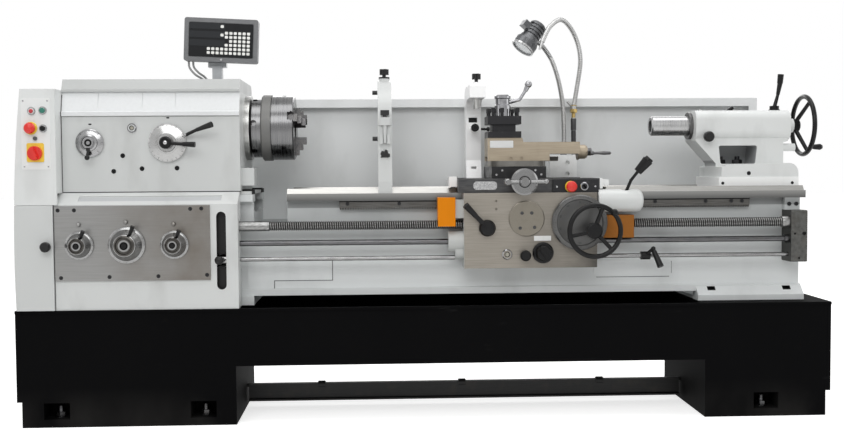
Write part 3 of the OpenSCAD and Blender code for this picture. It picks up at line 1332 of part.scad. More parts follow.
// One finger with its star knob, drawn upwards
module steady_finger() {
  translate([0, 0, 62]) cylinder(h = steady_r - 50, r = 12);
  translate([0, 0, steady_inner_r + 8]) cylinder(h = steady_r - steady_inner_r + 4, r = 21);
  translate([0, 0, steady_r + 6]) star_knob(18, 36);
}

module steady_rest() color(paint) {
  mid = (steady_left + steady_right) / 2;
  difference() {
    union() {
      steady_ring(false);
      // leg that widens to the foot on both ways
      difference() {
        along_x(steady_left, steady_right) polygon([[-steady_r, axis_z - gap],
          [-steady_r, axis_z - 80], [-bed_half + 8, way_z + 24], [-bed_half + 8, flat_z],
          [bed_half - 8, flat_z], [bed_half - 8, way_z + 24], [steady_r, axis_z - 80],
          [steady_r, axis_z - gap]]);
        rod_x(steady_left - 1, steady_right + 1, steady_r - 30, 0, axis_z);
      }
      // front lug
      block([mid - 18, -steady_r - 18, axis_z - 67], [mid + 18, -steady_r + 8, axis_z - 31]);
    }
    block([mid - 8, -steady_r - 19, axis_z - 68], [mid + 8, -steady_r + 1, axis_z - 30]);
    ways_room(steady_left - 1, steady_right + 1, 0);
    // room for the middle knuckle of the upper half
    rod_x(mid - 12 - gap, mid + 12 + gap, 17, steady_hinge, axis_z);
    block([mid - 12 - gap, steady_hinge - 24, axis_z - 2], [mid + 12 + gap, steady_hinge + 40, axis_z + 1]);
    for (a = [1, 2]) translate([mid, 0, axis_z]) rotate([finger_turns[a] - 90, 0, 0])
      cylinder(h = 400, r = 11);
  }
  for (a = [1, 2]) translate([mid, 0, axis_z]) rotate([finger_turns[a] - 90, 0, 0]) steady_finger();
  for (x = [steady_left, mid + 12 + gap]) difference() {
    rod_x(x, x + steady_thick / 2 - 12 - gap, 15, steady_hinge, axis_z);
    rod_x(x - 1, x + steady_thick, 6, steady_hinge, axis_z);
  }
  rod_x(steady_left + 1, steady_right - 1, 6.1, steady_hinge, axis_z);
  // locking screws of the fingers
  rod_x(steady_left - 20, steady_left + 1, 8, -steady_r * 0.78, axis_z - 47);
}

module steady_top() color(paint) {
  mid = (steady_left + steady_right) / 2;
  difference() {
    union() {
      difference() {
        steady_ring(true);
        translate([mid, 0, axis_z]) cylinder(h = 400, r = 11);
      }
      // front lug with the clamp bolt for the lower lug
      block([mid - 18, -steady_r - 18, axis_z + gap], [mid + 18, -steady_r + 12, axis_z + 30]);
      rod_z(axis_z - 64, axis_z + 40, 7, mid, -steady_r - 8);
      block([mid - 16, -steady_r - 15, axis_z + 38], [mid + 16, -steady_r - 1, axis_z + 56]);
      // knuckle
      rod_x(mid - 12, mid + 12, 15, steady_hinge, axis_z);
      block([mid - 12, steady_hinge - 40, axis_z + 2], [mid + 12, steady_hinge + 4, axis_z + 15]);
    }
    rod_x(mid - 20, mid + 20, 6.1 + gap, steady_hinge, axis_z);
  }
  translate([mid, 0, axis_z]) steady_finger();
  rod_x(steady_left - 20, steady_left + 1, 8, -70, axis_z + 128);
}

base();
brake_treadle();
bed();
rack();
headstock();
headstock_lid();
feed_gearbox();
gearbox_plate();
end_cover();
gear_cover();
switch_plate();
rod_bracket();
splash_guard();
dro_arm();
dro_console();
spindle();
chuck_body();
chuck_jaw_1();
chuck_jaw_2();
chuck_jaw_3();
speed_dial();
range_lever();
reverse_dial();
feed_dial_1();
feed_dial_2();
feed_dial_3();
control_rod();
lead_screw();
feed_rod();
mains_switch();
stop_button();
saddle();
apron();
left_guard();
right_guard();
joystick_housing();
control_panel();
panel_stop_button();
follow_rest();
work_lamp();
coolant_hose();
apron_handwheel();
half_nut_lever();
feed_knob();
joystick();
start_lever();
cross_slide();
cross_handwheel();
swivel_base();
compound_slide();
compound_crank();
toolpost();
toolpost_lever();
tailstock_base();
tailstock_body();
quill();
tail_handwheel();
tail_lever();
steady_rest();
steady_top();
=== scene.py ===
# %% [markdown]
# # A gap-bed engine lathe, dressed
# The machine itself comes packed from CAD as a fixed frame of separate iron, steel and sheet pieces.
# This lesson adds what the CAD leaves out: threads, screws, marks, lenses, hoses and every finish.

# %% Load the frame
import bmesh
import bpy
import numpy as np
from math import cos, pi, radians, sin
from mathutils import Matrix, Vector


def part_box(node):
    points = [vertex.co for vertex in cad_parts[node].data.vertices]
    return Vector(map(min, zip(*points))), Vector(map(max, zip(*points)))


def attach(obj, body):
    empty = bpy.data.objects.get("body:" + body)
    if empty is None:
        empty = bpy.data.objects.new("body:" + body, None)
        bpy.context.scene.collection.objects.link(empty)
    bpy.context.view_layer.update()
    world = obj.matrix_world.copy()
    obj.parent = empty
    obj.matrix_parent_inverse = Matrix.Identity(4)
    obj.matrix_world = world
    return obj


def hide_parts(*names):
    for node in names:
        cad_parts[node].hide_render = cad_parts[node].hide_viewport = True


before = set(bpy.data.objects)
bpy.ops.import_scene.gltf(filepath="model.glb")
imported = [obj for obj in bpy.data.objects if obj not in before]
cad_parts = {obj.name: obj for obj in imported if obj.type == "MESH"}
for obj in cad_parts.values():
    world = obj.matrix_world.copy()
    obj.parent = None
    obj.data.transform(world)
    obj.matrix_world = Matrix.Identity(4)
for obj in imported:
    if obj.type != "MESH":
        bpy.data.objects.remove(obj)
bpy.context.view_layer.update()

# %% [markdown]
# ## Measures
# Places come from the boxes of the CAD nodes, so a change of the CAD carries through.
# The helpers below turn millimetres into the metres that the scene works in.

# %% Measures taken from the frame
MM = 0.001
SPINDLE_Z = 1.075
# How far forward (y) the faces lie that fittings stand on
HEAD_FACE, APRON_FACE, PANEL_FACE, PLATE_FACE = -0.225, -0.285, -0.277, -0.2872
# The three feed dials: x and rim radius of each, and the height of their axes
FEED_DIALS, FEED_Z = ((-1.191, 0.05), (-1.025, 0.065), (-0.857, 0.05)), 0.652


def box(node):
    """Lowest and highest corner of a CAD node, as two arrays in metres."""
    low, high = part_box(node)
    return np.array(low), np.array(high)


def middle(node):
    low, high = box(node)
    return (low + high) / 2


print("spindle", middle("spindle"))

# %% [markdown]
# ## Camera
# The camera stands in front of the machine at chest height, a little left of the middle, and looks
# slightly down. Camera comes first, so that each later step can be looked at from the right place.

# %% Camera
yaw, pitch, roll = radians(2.43), radians(2.69), -0.0066
ahead = Vector((sin(yaw) * cos(pitch), cos(yaw) * cos(pitch), -sin(pitch)))
across = ahead.cross(Vector((0, 0, 1))).normalized()
upward = across.cross(ahead)
right = cos(roll) * across + sin(roll) * upward
top = -sin(roll) * across + cos(roll) * upward
camera = bpy.data.objects.new("camera", bpy.data.cameras.new("camera"))
bpy.context.scene.collection.objects.link(camera)
turn = Matrix((right, top, -ahead)).transposed().to_4x4()
camera.matrix_world = Matrix.Translation((-0.1373, -4.0947, 0.9165)) @ turn
camera.data.sensor_width = 36
camera.data.lens = 1062.26 / 844 * 36
camera.data.clip_end = 60
bpy.context.scene.camera = camera
print("camera", tuple(round(v, 3) for v in camera.matrix_world.translation))

# %% [markdown]
# ## Light
# A machine is shown best by large soft lamps: one broad lamp in front and above, one strip over the
# top that draws the bright edges on rails and covers, and weak fill from both sides.

# %% Lamps


def lamp(name, place, aim, size, power):
    """A rectangular area lamp at a place, turned towards an aim point."""
    data = bpy.data.lights.new(name, "AREA")
    data.shape = "RECTANGLE"
    data.size, data.size_y = size
    data.energy = power
    piece = bpy.data.objects.new(name, data)
    bpy.context.scene.collection.objects.link(piece)
    way = Vector(aim) - Vector(place)
    piece.matrix_world = Matrix.Translation(place) @ way.to_track_quat("-Z", "Y").to_matrix().to_4x4()


lamp("front_lamp", (-0.6, -4.2, 3.4), (0, 0, 0.75), (4.5, 2.0), 84)
lamp("top_lamp", (0.2, -0.5, 3.6), (0, 0, 0.8), (4.5, 1.4), 52)
lamp("left_lamp", (-4.5, -1.5, 2.2), (0, 0, 0.8), (2.0, 2.4), 12)
lamp("right_lamp", (4.5, -1.0, 2.4), (0, 0, 0.8), (2.0, 2.4), 25)
lamp("back_lamp", (0.5, 4.2, 2.8), (0, 0, 0.8), (4.0, 2.0), 60)
print("lamps", len(bpy.data.lights))

# %% [markdown]
# ## One node helper
# Every finish below is a small network of shader nodes. One function adds a node, sets its options
# and sockets, and links what feeds it, given as an earlier node or as one of its outputs. The Scale of
# a noise is how many patches lie in a metre, and a Mapping node in front of it stretches them.

# %% Node helper and colours


def linear(code):
    """sRGB hex such as '#a0b0c0' to linear light: ((c + 0.055) / 1.055) ** 2.4, or c / 12.92 when dark."""
    channels = [int(code[i:i + 2], 16) / 255 for i in (1, 3, 5)]
    return tuple(c / 12.92 if c <= 0.04045 else ((c + 0.055) / 1.055) ** 2.4 for c in channels) + (1.0,)


def add(tree, kind, *values, **settings):
    """Add one shader node with its settings and links.

    Values go to its live input sockets in order, settings with a capital go to sockets by name, and
    the other settings are its options. Text is a hex colour; a node stands for its first live output."""
    node = tree.nodes.new("ShaderNode" + kind)
    for key in [key for key in settings if key.islower()]:
        setattr(node, key, settings.pop(key))
    sockets = [socket for socket in node.inputs if socket.enabled][:len(values)]
    sockets += [node.inputs[key.replace("_", " ")] for key in settings]
    for socket, value in zip(sockets, [*values, *settings.values()]):
        if isinstance(value, bpy.types.Node):
            value = next(output for output in value.outputs if output.enabled)
        if isinstance(value, bpy.types.NodeSocket):
            tree.links.new(value, socket)
        else:
            socket.default_value = linear(value) if isinstance(value, str) else value
    return node


def blank(name):
    """A new material with an empty tree: returns the material, its tree and the place of each point."""
    finish = bpy.data.materials.new(name)
    finish.use_nodes = True
    finish.node_tree.nodes.clear()
    return finish, finish.node_tree, add(finish.node_tree, "TexCoord").outputs["Object"]


def close(tree, color, roughness, metallic=0.0, bump=None, strength=0.1, distance=0.0005, **extra):
    """Finish a tree with one Principled shader; color, roughness and bump may be nodes."""
    if bump is not None:
        extra["Normal"] = add(tree, "Bump", Height=bump, Strength=strength, Distance=distance)
    shader = add(tree, "BsdfPrincipled", Base_Color=color, Roughness=roughness, Metallic=metallic, **extra)
    add(tree, "OutputMaterial", shader)


def inside(tree, place, low, high):
    """1 in the box from low to high, else 0: the largest of |p - centre| / half must be under 1."""
    low, high = np.array(low, float), np.array(high, float)
    moved = add(tree, "VectorMath", place, tuple((low + high) / 2), operation="SUBTRACT")
    scaled = add(tree, "VectorMath", moved, tuple(2 / (high - low)), operation="MULTIPLY")
    x, y, z = add(tree, "SeparateXYZ", add(tree, "VectorMath", scaled, operation="ABSOLUTE")).outputs
    largest = add(tree, "Math", add(tree, "Math", x, y, operation="MAXIMUM"), z, operation="MAXIMUM")
    return add(tree, "Math", largest, 1.0, operation="LESS_THAN")


def zoned(tree, place, zones, color, rough, metal):
    """Lay looks (colour, roughness, metallic) over boxes of a finish: each zone is (low, high, look)."""
    grain = add(tree, "TexNoise", place, 90.0, 4.0)
    for low, high, look in zones:
        mask = inside(tree, place, low, high)
        grime, amount = ("#77756f", 0.3 if look[2] else 0.05) if linear(look[0])[0] > 0.08 else ("#262523", 0.3)
        dirt = add(tree, "MapRange", grain, 0.35, 0.75, 0.0, amount)
        tone = add(tree, "Mix", dirt, look[0], grime, data_type="RGBA")
        color = add(tree, "Mix", mask, color, tone, data_type="RGBA")
        rough = add(tree, "Mix", mask, rough, look[1])
        metal = add(tree, "Mix", mask, metal, look[2])
    return color, rough, metal


KNOB = ("#0c0c0d", 0.34, 0.5)
BRIGHT = ("#b4b4b2", 0.28, 1.0)
DULL = ("#565657", 0.42, 0.8)
STUD = ("#222223", 0.4, 0.6)
print("white is", linear("#ffffff")[0])

# %% [markdown]
# ## White room and pale floor
# The room is one even light. What the camera sees directly, or through a reflection, is plain white;
# what falls on the machine is weaker, so pale enamel keeps its shade. The floor catches the shadow.

# %% World and floor


def seen(tree):
    """1 for a ray that the camera sends out, straight, by a reflection or through glass, else 0."""
    ray = add(tree, "LightPath").outputs
    direct = add(tree, "Math", ray["Is Camera Ray"], ray["Is Glossy Ray"], operation="MAXIMUM")
    return add(tree, "Math", direct, ray["Is Transmission Ray"], operation="MAXIMUM")


bpy.context.scene.view_settings.view_transform = "Standard"
world = bpy.data.worlds.new("studio")
bpy.context.scene.world = world
world.use_nodes = True
air = world.node_tree
air.nodes.clear()
sky = add(air, "Background", "#ffffff", add(air, "MapRange", seen(air), 0, 1, 0.4, 1.0))
add(air, "OutputWorld", sky)
floor_mesh = bpy.data.meshes.new("floor")
floor_mesh.from_pydata([(-30, -30, 0), (30, -30, 0), (30, 30, 0), (-30, 30, 0)], [], [(0, 1, 2, 3)])
floor_finish, tree, place = blank("pale_floor")
glow = add(tree, "Math", seen(tree), 0.66, operation="MULTIPLY")
close(tree, "#f2f2f1", 0.8, Emission_Color="#ffffff", Emission_Strength=glow)
floor_mesh.materials.append(floor_finish)
floor = bpy.data.objects.new("floor", floor_mesh)
bpy.context.scene.collection.objects.link(floor)
print("floor", floor_mesh.name)

# %% [markdown]
# ## Enamel on iron castings
# Machine enamel is sprayed over filled and rubbed castings. It is pale grey and half gloss, with a
# faint orange peel about 2 mm across, and hands and oil leave thin dull clouds near the floor.

# %% Enamel


def enamel(name, code, soil="#8d8d89", dull=0.36, amount=0.35, zones=(), **extra):
    """Sprayed machine enamel: base colour, thin soil clouds and an orange-peel bump, with other looks laid over its
    zones: bare metal, black knobs and other dark parts, and painted shade.
    """
    finish, tree, place = blank(name)
    patches = add(tree, "TexNoise", add(tree, "Mapping", place, Scale=(1, 1, 0.45)), 7.0, 6.0)
    soiled = add(tree, "MapRange", patches, 0.55, 0.8, 0.0, amount)
    color = add(tree, "Mix", soiled, code, soil, data_type="RGBA")
    rough = add(tree, "MapRange", patches, 0.35, 0.75, dull - 0.05, dull + 0.12)
    peel = add(tree, "TexNoise", place, 480.0, 1.0)
    color, rough, metal = zoned(tree, place, zones, color, rough, 0.0)
    gloss = {"Coat_Weight": 0.15, "Coat_Roughness": 0.25, **extra}
    close(tree, color, rough, metal, peel, 0.12, 0.0002, **gloss)
    return finish


steady_x = box("steady_top")[0][0] + 0.019
follow_low, follow_high = box("follow_rest")
barrel = box("tailstock_body")[0][0] + 0.012
gearbox, plate_foot = box("feed_gearbox"), box("gearbox_plate")[0][2]
head_left = box("headstock")[0][0]
head_end = head_left + 0.636
grey_enamel = enamel("sprayed_grey_enamel", "#d3d5d4")
head_enamel = enamel("sprayed_headstock_enamel", "#c8cac9", zones=[
    ((head_end - 1.0, -0.4, 1.1135), (head_end - 0.0005, 0.3, 1.2575), ("#dfe1e2", 0.6, 0.0)),
    ((head_end - 1.0, -0.4, 1.1095), (head_end - 0.0005, -0.2, 1.1112), ("#7d7f7f", 0.4, 0.0)),
    # The thin near-black strip where the headstock's front meets the gearbox top is painted shadow in that crease.
    ((head_end - 1.0, -0.4, 0.7), (head_end + 0.0005, -0.2, gearbox[1][2] + 0.0035), ("#1f2020", 0.6, 0.3)),
    ((head_end - 1.0, -0.4, 0.7), (head_left + 0.003, -0.2, 1.19), ("#3c3d3d", 0.5, 0.0)),
    ((head_end + 0.0003, -0.13, 0.94), (head_end + 0.03, 0.13, 1.21), BRIGHT)])
shelf_left, gear_face = gearbox[0][:2]
slot_x = gearbox[1][0] - 0.059
box_enamel = enamel("sprayed_gearbox_enamel", "#cfd1d0", zones=[
    ((shelf_left - 0.01, -0.4, 0.4), (shelf_left + 0.003, -0.2, 0.85), ("#454647", 0.5, 0.0)),
    # The inside of the slot near the gearbox's right end is painted near black: painted shade in the slot.
    ((slot_x - 0.0175, gear_face + 0.001, plate_foot - 0.0362), (slot_x + 0.0175, gear_face + 0.045, 0.7682),
     ("#0d0d0e", 0.6, 0.5)),
    # The recess along the shelf is painted a darker grey: painted shade in the recess.
    ((shelf_left + 0.0805, gear_face + 0.0185, 0.8), (slot_x - 0.0015, gear_face + 0.0422, 0.83),
     ("#b9bbbd", 0.4, 0.0))])
lid_enamel = enamel("sprayed_lid_enamel", "#b7b9b8", amount=0.25)
cover_enamel = enamel("sprayed_cover_enamel", "#dbdddc", amount=0.25)
gear_enamel = enamel("sprayed_gear_cover_enamel", "#c9cbca", amount=0.25, zones=[
    ((-1.5, -0.4, 0.6), (-1.2, -0.2955, 0.7), KNOB)])
sheet_enamel = enamel("sprayed_sheet_enamel", "#e4e6e6", "#a9aaa7", 0.42, 0.3)
shoe_enamel = enamel("sprayed_tailstock_base_enamel", "#f8f9f8", amount=0.2)
tail_enamel = enamel("sprayed_tailstock_enamel", "#dcdedd", zones=[
    # The inside of the window is painted a darker grey: painted shade in the hollow.
    ((barrel + 0.07, -0.0675, 0.92), (barrel + 0.25, 0.0675, 1.0), ("#a9abac", 0.5, 0.0)),
    ((barrel + 0.02, -0.13, 1.0), (barrel + 0.065, -0.0825, 1.06), KNOB),
    # The locking ring at the barrel's left end is dark steel, and the same dark look on the barrel's left end face is
    # painted shade.
    ((barrel - 0.02, -0.06, 1.0), (barrel - 0.0003, 0.06, 1.15), DULL),
    ((barrel + 0.3, 0.0, 1.1325), (barrel + 0.4, 0.08, 1.2), KNOB),
    ((barrel + 0.02, -0.04, 1.1322), (barrel + 0.04, -0.02, 1.15), BRIGHT)])
steady_zones = [((-0.2, -0.03, 1.2605), (0.0, 0.03, 1.4), KNOB), ((-0.2, -0.3, 0.93), (0.0, -0.1885, 1.0), KNOB),
                ((-0.2, 0.1885, 0.93), (0.0, 0.3, 1.0), KNOB),
                ((-0.2, -0.3, 0.9), (steady_x - 0.0005, 0.3, 1.4), STUD),
                ((-0.2, -0.3, 1.1055), (0.0, -0.1795, 1.14), STUD),
                ((-0.2, -0.11, 0.98), (0.0, 0.11, 1.186), BRIGHT)]
steady_enamel = enamel("sprayed_steady_enamel", "#c6c8c7", zones=steady_zones)
follow_enamel = enamel("sprayed_follow_enamel", "#fdfdfd", amount=0.1, zones=[
    ((0.23, follow_low[1] + 0.0225, 1.0985), (0.264, 0.2, 1.1175), KNOB),
    ((0.1, -0.05, follow_high[2] - 0.0315), (0.4, 0.05, 1.4), KNOB), ((0.1, 0.2035, 1.0), (0.4, 0.3, 1.2), KNOB),
    ((follow_high[0] - 0.0365, 0.1, 1.0), (0.4, 0.2, 1.2), KNOB), ((0.2, -0.03, 1.1), (0.3, 0.03, 1.1845), BRIGHT),
    ((0.2, 0.06, 1.0), (0.3, 0.1, 1.1), BRIGHT)])
post_enamel = enamel("sprayed_readout_post_enamel", "#b2b5b8", zones=[
    ((head_end - 0.5, -0.1, 1.0), (head_end, 0.031, box("dro_arm")[0][2] + 0.0085), ("#3c3d3e", 0.5, 0.0))])
weak_gloss = {"Specular_IOR_Level": 0.15, "Coat_Weight": 0.04}
orange_enamel = enamel("sprayed_orange_enamel", "#de8200", "#a35c12", 0.35, 0.3, **weak_gloss)
# The right guard is a darker, browner orange: partly real oil and dirt, partly painted shade from the handwheel in
# front of it.
worn_and_shaded_orange = enamel("oily_and_shaded_orange_enamel", "#945c22", "#5e4024", 0.42, 0.75, **weak_gloss)
print("finishes so far", len(bpy.data.materials))

# %% [markdown]
# The bed is one casting with two finishes: its ways are ground bright and its walls are enamelled.
# The height of a point tells which, because the machining stops at the under side of the rails.

# %% Bed finish

# Painted shade lines along the edges of the raised panels of the wall: left end, foot, length and height of each
BED_PANEL_EDGE_SHADE = [(-0.5185, 0.478, 0.003, 0.03), (-0.518, 0.505, 0.216, 0.0032), (-0.3045, 0.505, 0.003, 0.074),
             (0.68, 0.506, 0.275, 0.003), (0.9615, 0.52, 0.003, 0.045)]


def bed_finish():
    """Ground iron above the rails' lower edge, enamel below it, painted shade under the rails, on their outer faces,
    along the panel edges and in bolt holes and a slot, and a painted stub by the gap.
    """
    finish, tree, place = blank("ground_and_enamelled_bed")
    _, across, height = add(tree, "SeparateXYZ", place).outputs
    rail = add(tree, "MapRange", height, 0.7997, 0.8003)
    side = add(tree, "Math", across, operation="ABSOLUTE")
    inward = add(tree, "MapRange", side, 0.112, 0.114)
    ground = add(tree, "Math", rail, inward, operation="MULTIPLY")
    patches = add(tree, "TexNoise", add(tree, "Mapping", place, Scale=(1, 1, 0.5)), 5.0, 6.0)
    strokes = add(tree, "TexNoise", add(tree, "Mapping", place, Scale=(0.02, 1, 1)), 900.0, 2.0)
    # The wall is painted lighter near the foot and darker towards the rails, and much darker in a band just under
    # them: painted shade under the rails' overhang.
    tall = add(tree, "Mix", add(tree, "MapRange", height, 0.55, 0.72), "#e0e3e3", "#c4c7c7", data_type="RGBA")
    shade = add(tree, "MapRange", height, 0.7735, 0.7745, 0, 0.55)
    tall = add(tree, "Mix", shade, tall, "#3a3b3b", data_type="RGBA")
    paint = add(tree, "Mix", add(tree, "MapRange", patches, 0.5, 0.8, 0, 0.4), tall, "#8f9190", data_type="RGBA")
    iron = add(tree, "Mix", strokes, "#868583", "#b0afab", data_type="RGBA")
    # The rails' outer faces are painted darker than their ground tops, from dark at the lower edge to lighter at the
    # top: painted shading.
    face = add(tree, "MapRange", side, 0.1985, 0.1995)
    rail_front = add(tree, "Mix", add(tree, "MapRange", height, 0.803, 0.826), "#5e5e5d", "#878785", data_type="RGBA")
    iron = add(tree, "Mix", face, iron, rail_front, data_type="RGBA")
    color = add(tree, "Mix", ground, paint, iron, data_type="RGBA")
    rough = add(tree, "MapRange", ground, 0, 1, 0.42, 0.3)
    panel_edge_shade, hole = ("#707272", 0.5, 0.0), ("#0d0d0e", 0.6, 0.5)
    looks = [((x, -0.3, z), (x + long, -0.1, z + high), panel_edge_shade) for x, z, long, high in BED_PANEL_EDGE_SHADE]
    # The bolt holes low on the right and the slot between the bed's stub and the headstock, left of the gap, are
    # painted near black: painted shade.
    looks += [((x - 0.0152, -0.3, 0.4558), (x + 0.0152, -0.15, 0.4692), hole) for x in (1.109, 1.394)]
    looks += [((-1.3, -0.3, 0.7), (-0.5885, 0.3, 0.8265), ("#d3d6d6", 0.42, 0.0)),
              ((-1.3, -0.3, 0.8265), (-0.5885, 0.3, 0.85), hole)]
    color, rough, metal = zoned(tree, place, looks, color, rough, ground)
    close(tree, color, rough, metal, strokes, 0.05, 0.0001)
    return finish


bed_surface = bed_finish()
print(bed_surface.name)

# %% [markdown]
# ## Black sheet of the stand
# The stand is folded steel sheet under black wrinkle paint. The wrinkle is about 3 mm across; the
# plinth collects grey dust, and chips and boots leave pale scuffs on the front.

# %% Wrinkle paint


def wrinkle_paint():
    """Black textured paint: small wrinkles by noise, dust towards the floor, scuffs by stretched noise."""
    finish, tree, place = blank("black_wrinkle_paint")
    height = add(tree, "SeparateXYZ", place).outputs[2]
    grain = add(tree, "TexNoise", place, 330.0, 3.0)
    patches = add(tree, "TexNoise", add(tree, "Mapping", place, Scale=(1, 1, 0.6)), 4.0, 7.0)
    low = add(tree, "MapRange", height, 0.02, 0.14, 0.9, 0.03)
    dust = add(tree, "Math", add(tree, "MapRange", patches, 0.42, 0.75), low, operation="MULTIPLY")
    specks = add(tree, "TexNoise", add(tree, "Mapping", place, Scale=(0.25, 1, 1)), 26.0, 8.0)
    scuffs = add(tree, "MapRange", specks, 0.68, 0.76, 0.0, 0.25)
    color = add(tree, "Mix", dust, "#070708", "#2a2928", data_type="RGBA")
    color = add(tree, "Mix", scuffs, color, "#2e2e2e", data_type="RGBA")
    close(tree, color, 0.7, 0.0, grain, 0.3, 0.0005, Specular_IOR_Level=0.04)
    return finish


stand_paint = wrinkle_paint()
print(stand_paint.name)

# %% [markdown]
# ## Bare metal
# Turned pieces carry fine rings round their axis, ground pieces fine straight strokes. Both are
# noise squeezed along the path of the tool. Oil keeps the metal a little dark and blotchy.

# %% Bare metal


def bare_metal(name, light, dark, rough=0.28, strokes=(0.03, 1, 1), scale=700.0, stain=0.25, metal=1.0,
               relief=0.05, zones=()):
    """Machined metal: tool strokes by squeezed noise and oil stains by soft clouds."""
    finish, tree, place = blank(name)
    lines = add(tree, "TexNoise", add(tree, "Mapping", place, Scale=strokes), scale, 3.0)
    oil = add(tree, "TexNoise", place, 22.0, 5.0)
    color = add(tree, "Mix", add(tree, "MapRange", lines, 0.3, 0.7), dark, light, data_type="RGBA")
    color = add(tree, "Mix", add(tree, "MapRange", oil, 0.5, 0.85, 0, stain), color, "#4d463c", data_type="RGBA")
    wear = add(tree, "MapRange", lines, 0.3, 0.7, rough - 0.06, rough + 0.1)
    color, wear, metal = zoned(tree, place, zones, color, wear, metal)
    close(tree, color, wear, metal, lines, relief, 0.0001)
    return finish


turned_steel = bare_metal("turned_steel", "#adadac", "#98989a", 0.27, (1, 0.001, 0.001), relief=0.01)
chuck_back = box("chuck_body")[0][0]
chuck_steel = bare_metal("turned_chuck_steel", "#7c7c7c", "#5c5c5e", 0.22, (1, 0.012, 0.012), relief=0.01, zones=[
    ((chuck_back - 0.01, -0.2, 0.9), (chuck_back + 0.037, 0.2, 1.3), ("#6d6d6c", 0.55, 0.4))])
# The nose is painted near black within 28 mm of the headstock's right face, where the groove behind the bearing cover
# lies: painted shade in the groove.
nose_steel = bare_metal("turned_nose_steel", "#808080", "#626264", 0.24, (1, 0.001, 0.001), relief=0.01, zones=[
    ((-0.7, -0.2, 0.9), (head_end + 0.0281, 0.2, 1.3), ("#0d0d0d", 0.6, 0.5))])
ground_steel = bare_metal("ground_steel", "#8c8c8b", "#646465", 0.22)
feed_rod_steel = bare_metal("feed_rod_steel", "#6a6a6b", "#474749", 0.28)
oiled_steel = bare_metal("oil_darkened_steel", "#6b6b6c", "#434345", 0.34)
# The rack is oily and also painted darker as shade under the rail, and its top 5 mm is painted near black as the
# rail's shadow.
rack_top = box("rack")[1][2]
rack_steel = bare_metal("oiled_and_shaded_rack_steel", "#5e5d5b", "#434240", 0.4, zones=[
    ((-1.0, -0.3, rack_top - 0.005), (1.6, -0.1, rack_top + 0.01), ("#141414", 0.6, 0.6))])
treadle_paint = bare_metal("worn_black_treadle_paint", "#2b2b2b", "#1b1b1b", 0.5, metal=0.5)
jaw_steel = bare_metal("hardened_jaw_steel", "#6f6e6c", "#434347", 0.3, (1, 0.2, 0.2))
wiper = ("#f4f5f4", 0.5, 0.0)
scraped_iron = bare_metal("machined_cast_iron", "#505050", "#3c3c3e", 0.42, (0.1, 1, 1), 300.0, 0.2, zones=[
    ((0.1, -0.23, 0.84), (0.1565, 0.23, 0.9), wiper), ((0.6725, -0.3, 0.84), (0.75, 0.3, 0.9), wiper)])
rod_steel = bare_metal("control_rod_steel", "#9a9a99", "#717172", 0.22, zones=[
    ((-0.8, -0.4, 0.55), (-0.6, -0.2555, 0.65), KNOB)])
bracket_iron = bare_metal("oiled_bracket_iron", "#5b5b59", "#474745", 0.45, (1, 1, 1), 90.0, 0.3)
brass = bare_metal("tarnished_brass", "#b9a06a", "#94804f", 0.3)
chrome = bare_metal("polished_chrome", "#9b9b9d", "#828285", 0.12, (1, 1, 1), 60.0, 0.1)
satin_chrome = bare_metal("satin_chrome", "#b4b4b3", "#98989a", 0.22, (1, 1, 1), 200.0, 0.1)
conduit_zinc = bare_metal("zinc_plated_conduit", "#b5b5b4", "#979797", 0.34, (1, 1, 1), 200.0, 0.2)
lamp_metal = bare_metal("dark_lamp_shell", "#626365", "#4b4c4e", 0.3, (1, 1, 1), 200.0, 0.1, 0.6, zones=[
    ((0.5, 0.1, 0.8), (0.8, 0.3, box("saddle")[1][2] + 0.0825), ("#fbfcfb", 0.5, 0.0)),
    ((0.45, 0.0, 1.0), (0.7, 0.3, 1.35), ("#b5b5b4", 0.34, 1.0))])
print("finishes so far", len(bpy.data.materials))

# %% [markdown]
# ## Black parts
# Black oxide is a thin chemical skin on steel: nearly black, satin, with steel shining through at
# the edges. Handles are moulded thermoset plastic, deep black and glossy, finely scratched by use.

# %% Black oxide and plastics


def black_oxide(name="black_oxide_steel", code="#222224"):
    """Satin black skin with paler rubbed clouds."""
    finish, tree, place = blank(name)
    rub = add(tree, "TexNoise", place, 40.0, 6.0)
    color = add(tree, "Mix", add(tree, "MapRange", rub, 0.6, 0.8, 0, 0.35), code, "#5b5a58", data_type="RGBA")
    close(tree, color, add(tree, "MapRange", rub, 0.3, 0.8, 0.3, 0.5), 0.6, add(tree, "TexNoise", place, 600.0, 4.0),
          0.08, 0.0001)
    return finish


def plastic(name, code, rough=0.22, worn="#55534f", amount=0.25, grain=900.0, **extra):
    """Moulded plastic: an even colour, light scratches and a fine moulded grain."""
    finish, tree, place = blank(name)
    scratch = add(tree, "TexNoise", add(tree, "Mapping", place, Scale=(1, 1, 0.3)), 55.0, 9.0)
    color = add(tree, "Mix", add(tree, "MapRange", scratch, 0.62, 0.8, 0, amount), code, worn, data_type="RGBA")
    wear = add(tree, "MapRange", scratch, 0.35, 0.75, rough, rough + 0.16)
    sheen = {"Coat_Weight": 0.2, "Coat_Roughness": 0.1, **extra}
    close(tree, color, wear, 0.0, add(tree, "TexNoise", place, grain, 4.0), 0.05, 0.0001, **sheen)
    return finish


